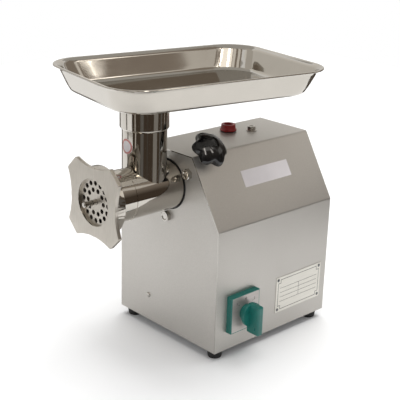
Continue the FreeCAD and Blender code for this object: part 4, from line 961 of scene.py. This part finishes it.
class GRINDER_OT_gland(PieceOperator):
    """Make the cord gland with its hexagon and ribbed nose"""

    bl_idname = "grinder.gland"
    bl_label = "Cord gland"

    def execute(self, context):
        low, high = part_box("cord_gland")
        middle = centre_of("cord_gland")
        stand = along((1, 0, 0), (WRAP_HIGH.x, middle.y, middle.z))
        angles = turns(144)
        flat = hexagon(12 * MM)
        chamfer = 1.1 * MM
        ribs_round = 18

        def ribbed(radius, height, ribs=0.0):
            """A ring in millimetres with grooves of a given depth."""
            def reach(angle):
                return (radius - ribs * (0.5 - 0.5 * cos(ribs_round * angle))) * MM
            return ring(angles, reach, height * MM)

        inside = (low.x - WRAP_HIGH.x) / MM
        reach = (high.x - WRAP_HIGH.x) / MM
        rows = [ribbed(4.5, inside), ribbed(8.0, inside), ribbed(8.0, 0.0),
                ring(angles, flat, 0.0), ring(angles, flat, 4.9 * MM),
                ring(angles, lambda angle: flat(angle) - chamfer, 6.0 * MM),
                ribbed(9.6, 6.0), ribbed(9.6, 6.8), ribbed(9.5, 7.2, 0.5), ribbed(8.9, 12.0, 0.6),
                ribbed(8.1, 15.4, 0.4), ribbed(7.2, reach - 0.8), ribbed(6.4, reach),
                ribbed(5.2, reach), ribbed(4.5, reach - 0.7)]
        shape = Shape()
        shape.hose(placed(stand, rows))
        shape.piece("ribbed_cord_gland", "black", "housing", ["cord_gland"], "black_plastic", 30.0)
        return {"FINISHED"}


# Lights on the dark wall: direction and width in degrees, lower and upper edge in metres, strength
STRIPS = (
    (-175, 4, 0.0, 0.35, 0.85), (-150, 12, 0.0, 0.35, 0.22), (-128, 2, 0.0, 0.35, 0.14),
    (-90, 22, 0.0, 0.35, 0.40), (-80, 3, 0.0, 0.35, 0.45), (-58, 10, 0.0, 0.35, 0.20),
    (-34, 3, 0.0, 0.35, 0.8), (-8, 4, 0.0, 0.35, 0.35), (-40, 28, 0.40, 0.60, 1.5),
    (-82, 4, 0.55, 0.74, 1.0), (-67, 9, 0.70, 0.90, 1.3), (-60.5, 6, 0.55, 0.90, 1.05),
    (-112, 56, 0.76, 1.2, 2.4), (-150, 14, 0.38, 1.2, 1.3), (-174, 12, 0.38, 1.2, 1.2),
    (6, 8, 0.38, 1.2, 0.9), (136, 30, 0.38, 1.2, 0.85), (74, 64, 0.0, 0.30, 0.40),
    (150, 6, 0.0, 0.30, 0.35),
)
WINDOWS = ((-122, 8, 0.52, 1.05, 14.0), (-87, 8, 0.56, 0.82, 9.0), (-74, 8, 0.74, 0.98, 4.0))

# Strips and windows hang this share of the way to the dark wall; the ceiling reaches past it
STRIP_SHARE, WINDOW_SHARE, CEILING_SHARE = 0.98, 0.94, 1.6
CEILING_STRENGTH = 0.55

# Where the dark wall gives way to the grey one and back, in degrees, and the dark wall's fade
DARK_START, GREY_START, GREY_END = -187, 15, 173
FADE_LOW, FADE_HIGH = 0.28, 0.56

FLOOR_HALF = 1.7

# Lamps: property with the strength, place, point aimed at and width in metres
GRINDER_MIDDLE = (-0.04, 0.0, 0.18)
LAMPS = {
    "top_light": ("key", (0.8, 0.5, 4.5), (0.8, 0.5, 0.0), 4.5),
    "side_light": ("side", (-1.6, -0.5, 0.9), GRINDER_MIDDLE, 1.1),
    "front_light": ("fill", (-0.2, -1.8, 1.5), GRINDER_MIDDLE, 1.2),
}

# The photo's camera: azimuth, angle from straight down and roll in degrees, and its place along
# its own axes from the level of the casing's foot
CAMERA_TURNS = ((-43.358, "Z"), (90 - 19.394, "X"), (1.635, "Z"))
CAMERA_OFFSET = (-0.031249, 0.150908, 1.331553)


class GRINDER_OT_stage(PieceOperator):
    """Set up the pale floor, the soft studio light, the mirrored room and the camera"""

    bl_idname = "grinder.stage"
    bl_label = "Studio stage"

    def execute(self, context):
        scene = context.scene
        stage = scene.grinder_stage
        scene.view_settings.view_transform = "Standard"
        self.floor(stage)
        self.world(scene, stage)
        self.room(stage)
        for name, (strength, place, target, size) in LAMPS.items():
            self.lamp(name, Vector(place), Vector(target), size, getattr(stage, strength))
        self.camera(scene, stage)
        return {"FINISHED"}

    def lamp(self, name, place, target, size, watts):
        light = bpy.data.lights.new(name, "AREA")
        light.size = size
        light.energy = watts
        made = bpy.data.objects.new(name, light)
        made.visible_glossy = False
        made.location = place
        made.rotation_euler = (target - place).to_track_quat("-Z", "Y").to_euler()
        show(made)

    def sheet(self, name, rows, material):
        """A bare sheet skinned between rows of points."""
        shape = Shape()
        shape.loops(rows, closed=False)
        mesh = bpy.data.meshes.new(name)
        mesh.from_pydata(shape.points, [], shape.faces)
        mesh.materials.append(material)
        made = bpy.data.objects.new(name, mesh)
        show(made)
        return made

    def mirrored(self, name, rows, material):
        """A sheet that lights nothing and casts no shadow, but shows in bright metal."""
        made = self.sheet(name, rows, material)
        made.visible_camera = False
        made.visible_diffuse = False
        made.visible_shadow = False

    def square_rows(self, half, height):
        return [[(x * half, y * half, height) for x in (-1, 1)] for y in (-1, 1)]

    def floor(self, stage):
        made = Finish("pale_floor", tuple(stage.floor), 0.0, 0.9)
        made.shader["Specular IOR Level"].default_value = 0.1
        self.sheet("floor", self.square_rows(FLOOR_HALF, 0.0), made.material)

    def world(self, scene, stage):
        """A white world that lights matt surfaces less than it shows."""
        scene.world = bpy.data.worlds.new("studio")
        graph = Graph(scene.world)
        background = graph.nodes["Background"].inputs
        background["Color"].default_value = (1.0, 1.0, 1.0, 1.0)
        rays = graph.node("LightPath").outputs
        seen = rays["Is Camera Ray"]
        for ray in ("Is Glossy Ray", "Is Transmission Ray"):
            either = graph.node("Math")
            either.operation = "MAXIMUM"
            graph.link(seen, either.inputs[0])
            graph.link(rays[ray], either.inputs[1])
            seen = either.outputs["Value"]
        strength = graph.node("MapRange", To_Min=stage.sky)
        graph.link(seen, strength.inputs["Value"])
        graph.link(strength.outputs["Result"], background["Strength"])

    def room(self, stage):
        """Dark and grey walls with light strips, which only mirror-like surfaces see."""
        height = stage.room_height
        dark = self.glow("dark_room", stage.room_low, stage.room_high, FADE_LOW, FADE_HIGH)
        rows = self.arc_rows(stage.room_radius, DARK_START, GREY_START, 0.0, height)
        self.mirrored("dark_room_wall", rows, dark)
        grey = self.glow("grey_room", stage.grey_low, stage.grey_high, 0.0, height)
        rows = self.arc_rows(stage.grey_radius, GREY_START, GREY_END, 0.0, height)
        self.mirrored("grey_room_wall", rows, grey)
        self.panels("light_strip", STRIPS, STRIP_SHARE, stage)
        self.panels("window", WINDOWS, WINDOW_SHARE, stage)
        top = stage.grey_high
        ceiling = self.glow("grey_ceiling", top, top, 0.0, height, CEILING_STRENGTH)
        rows = self.square_rows(stage.room_radius * CEILING_SHARE, height)
        self.mirrored("grey_ceiling", rows, ceiling)

    def panels(self, name, panels, share, stage):
        """Upright lights at a share of the way to the dark wall."""
        for index, (azimuth, width, low, high, strength) in enumerate(panels):
            label = "%s_%d" % (name, index)
            glow = self.glow(label, stage.strip, stage.strip, low, high, strength)
            first, last = azimuth - width / 2, azimuth + width / 2
            rows = self.arc_rows(stage.room_radius * share, first, last, low, high)
            self.mirrored(label, rows, glow)

    def arc_rows(self, radius, first, last, low, high):
        """Both edges of a wall that curves round the grinder between two directions in degrees."""
        steps = max(4, int((last - first) / 5))
        angles = [radians(first + (last - first) * step / steps) for step in range(steps + 1)]
        return [ring(angles, radius, height) for height in (low, high)]

    def glow(self, name, low, high, bottom, top, strength=1.0):
        """Light that changes from one colour to another between two heights."""
        material = bpy.data.materials.new(name)
        graph = Graph(material)
        graph.nodes.remove(graph.nodes["Principled BSDF"])
        place = graph.node("TexCoord")
        split = graph.node("SeparateXYZ")
        share = graph.node("MapRange", From_Min=bottom, From_Max=top)
        blend = graph.node("ValToRGB")
        for element, tone in zip(blend.color_ramp.elements, (low, high)):
            element.color = (*tone, 1.0)
        light = graph.node("Emission", Strength=strength)
        graph.link(place.outputs["Object"], split.inputs["Vector"])
        graph.link(split.outputs["Z"], share.inputs["Value"])
        graph.link(share.outputs["Result"], blend.inputs["Fac"])
        graph.link(blend.outputs["Color"], light.inputs["Color"])
        graph.link(light.outputs["Emission"], graph.nodes["Material Output"].inputs["Surface"])
        return material

    def camera(self, scene, stage):
        data = bpy.data.cameras.new("photo_camera")
        data.lens = stage.lens
        made = bpy.data.objects.new("photo_camera", data)
        stand = Matrix.Translation((0, 0, WRAP_LOW.z))
        for degrees, axis in CAMERA_TURNS:
            stand = stand @ Matrix.Rotation(radians(degrees), 4, axis)
        made.matrix_world = stand @ Matrix.Translation(CAMERA_OFFSET)
        show(made)
        scene.camera = made


OPERATORS = (
    GRINDER_OT_casing, GRINDER_OT_tray, GRINDER_OT_head, GRINDER_OT_worm_pin, GRINDER_OT_lock,
    GRINDER_OT_filler, GRINDER_OT_bolts, GRINDER_OT_rubber, GRINDER_OT_switch,
    GRINDER_OT_rating_plate, GRINDER_OT_stickers, GRINDER_OT_drive, GRINDER_OT_gland,
    GRINDER_OT_stage,
)
GROUPS = {
    "grinder_sizes": GrinderSizes,
    "grinder_colours": GrinderColours,
    "grinder_stage": GrinderStage,
}


class GRINDER_PT_sidebar(bpy.types.Panel):
    """Lists the grinder's pieces"""

    bl_idname = "GRINDER_PT_sidebar"
    bl_label = "Meat grinder"
    bl_space_type = "VIEW_3D"
    bl_region_type = "UI"
    bl_category = "Grinder"

    def draw(self, context):
        for operator in OPERATORS:
            self.layout.operator(operator.bl_idname)
        for name in GROUPS:
            group = getattr(context.scene, name)
            column = self.layout.column(align=True)
            for key in group.__annotations__:
                column.prop(group, key)


def register():
    for name, group in GROUPS.items():
        bpy.utils.register_class(group)
        setattr(bpy.types.Scene, name, PointerProperty(type=group))
    for operator in OPERATORS:
        bpy.utils.register_class(operator)
    bpy.utils.register_class(GRINDER_PT_sidebar)


def unregister():
    bpy.utils.unregister_class(GRINDER_PT_sidebar)
    for operator in reversed(OPERATORS):
        bpy.utils.unregister_class(operator)
    for name, group in GROUPS.items():
        delattr(bpy.types.Scene, name)
        bpy.utils.unregister_class(group)


def main():
    register()
    for operator in OPERATORS:
        group, name = operator.bl_idname.split(".")
        getattr(getattr(bpy.ops, group), name)()


if __name__ == "__main__":
    main()
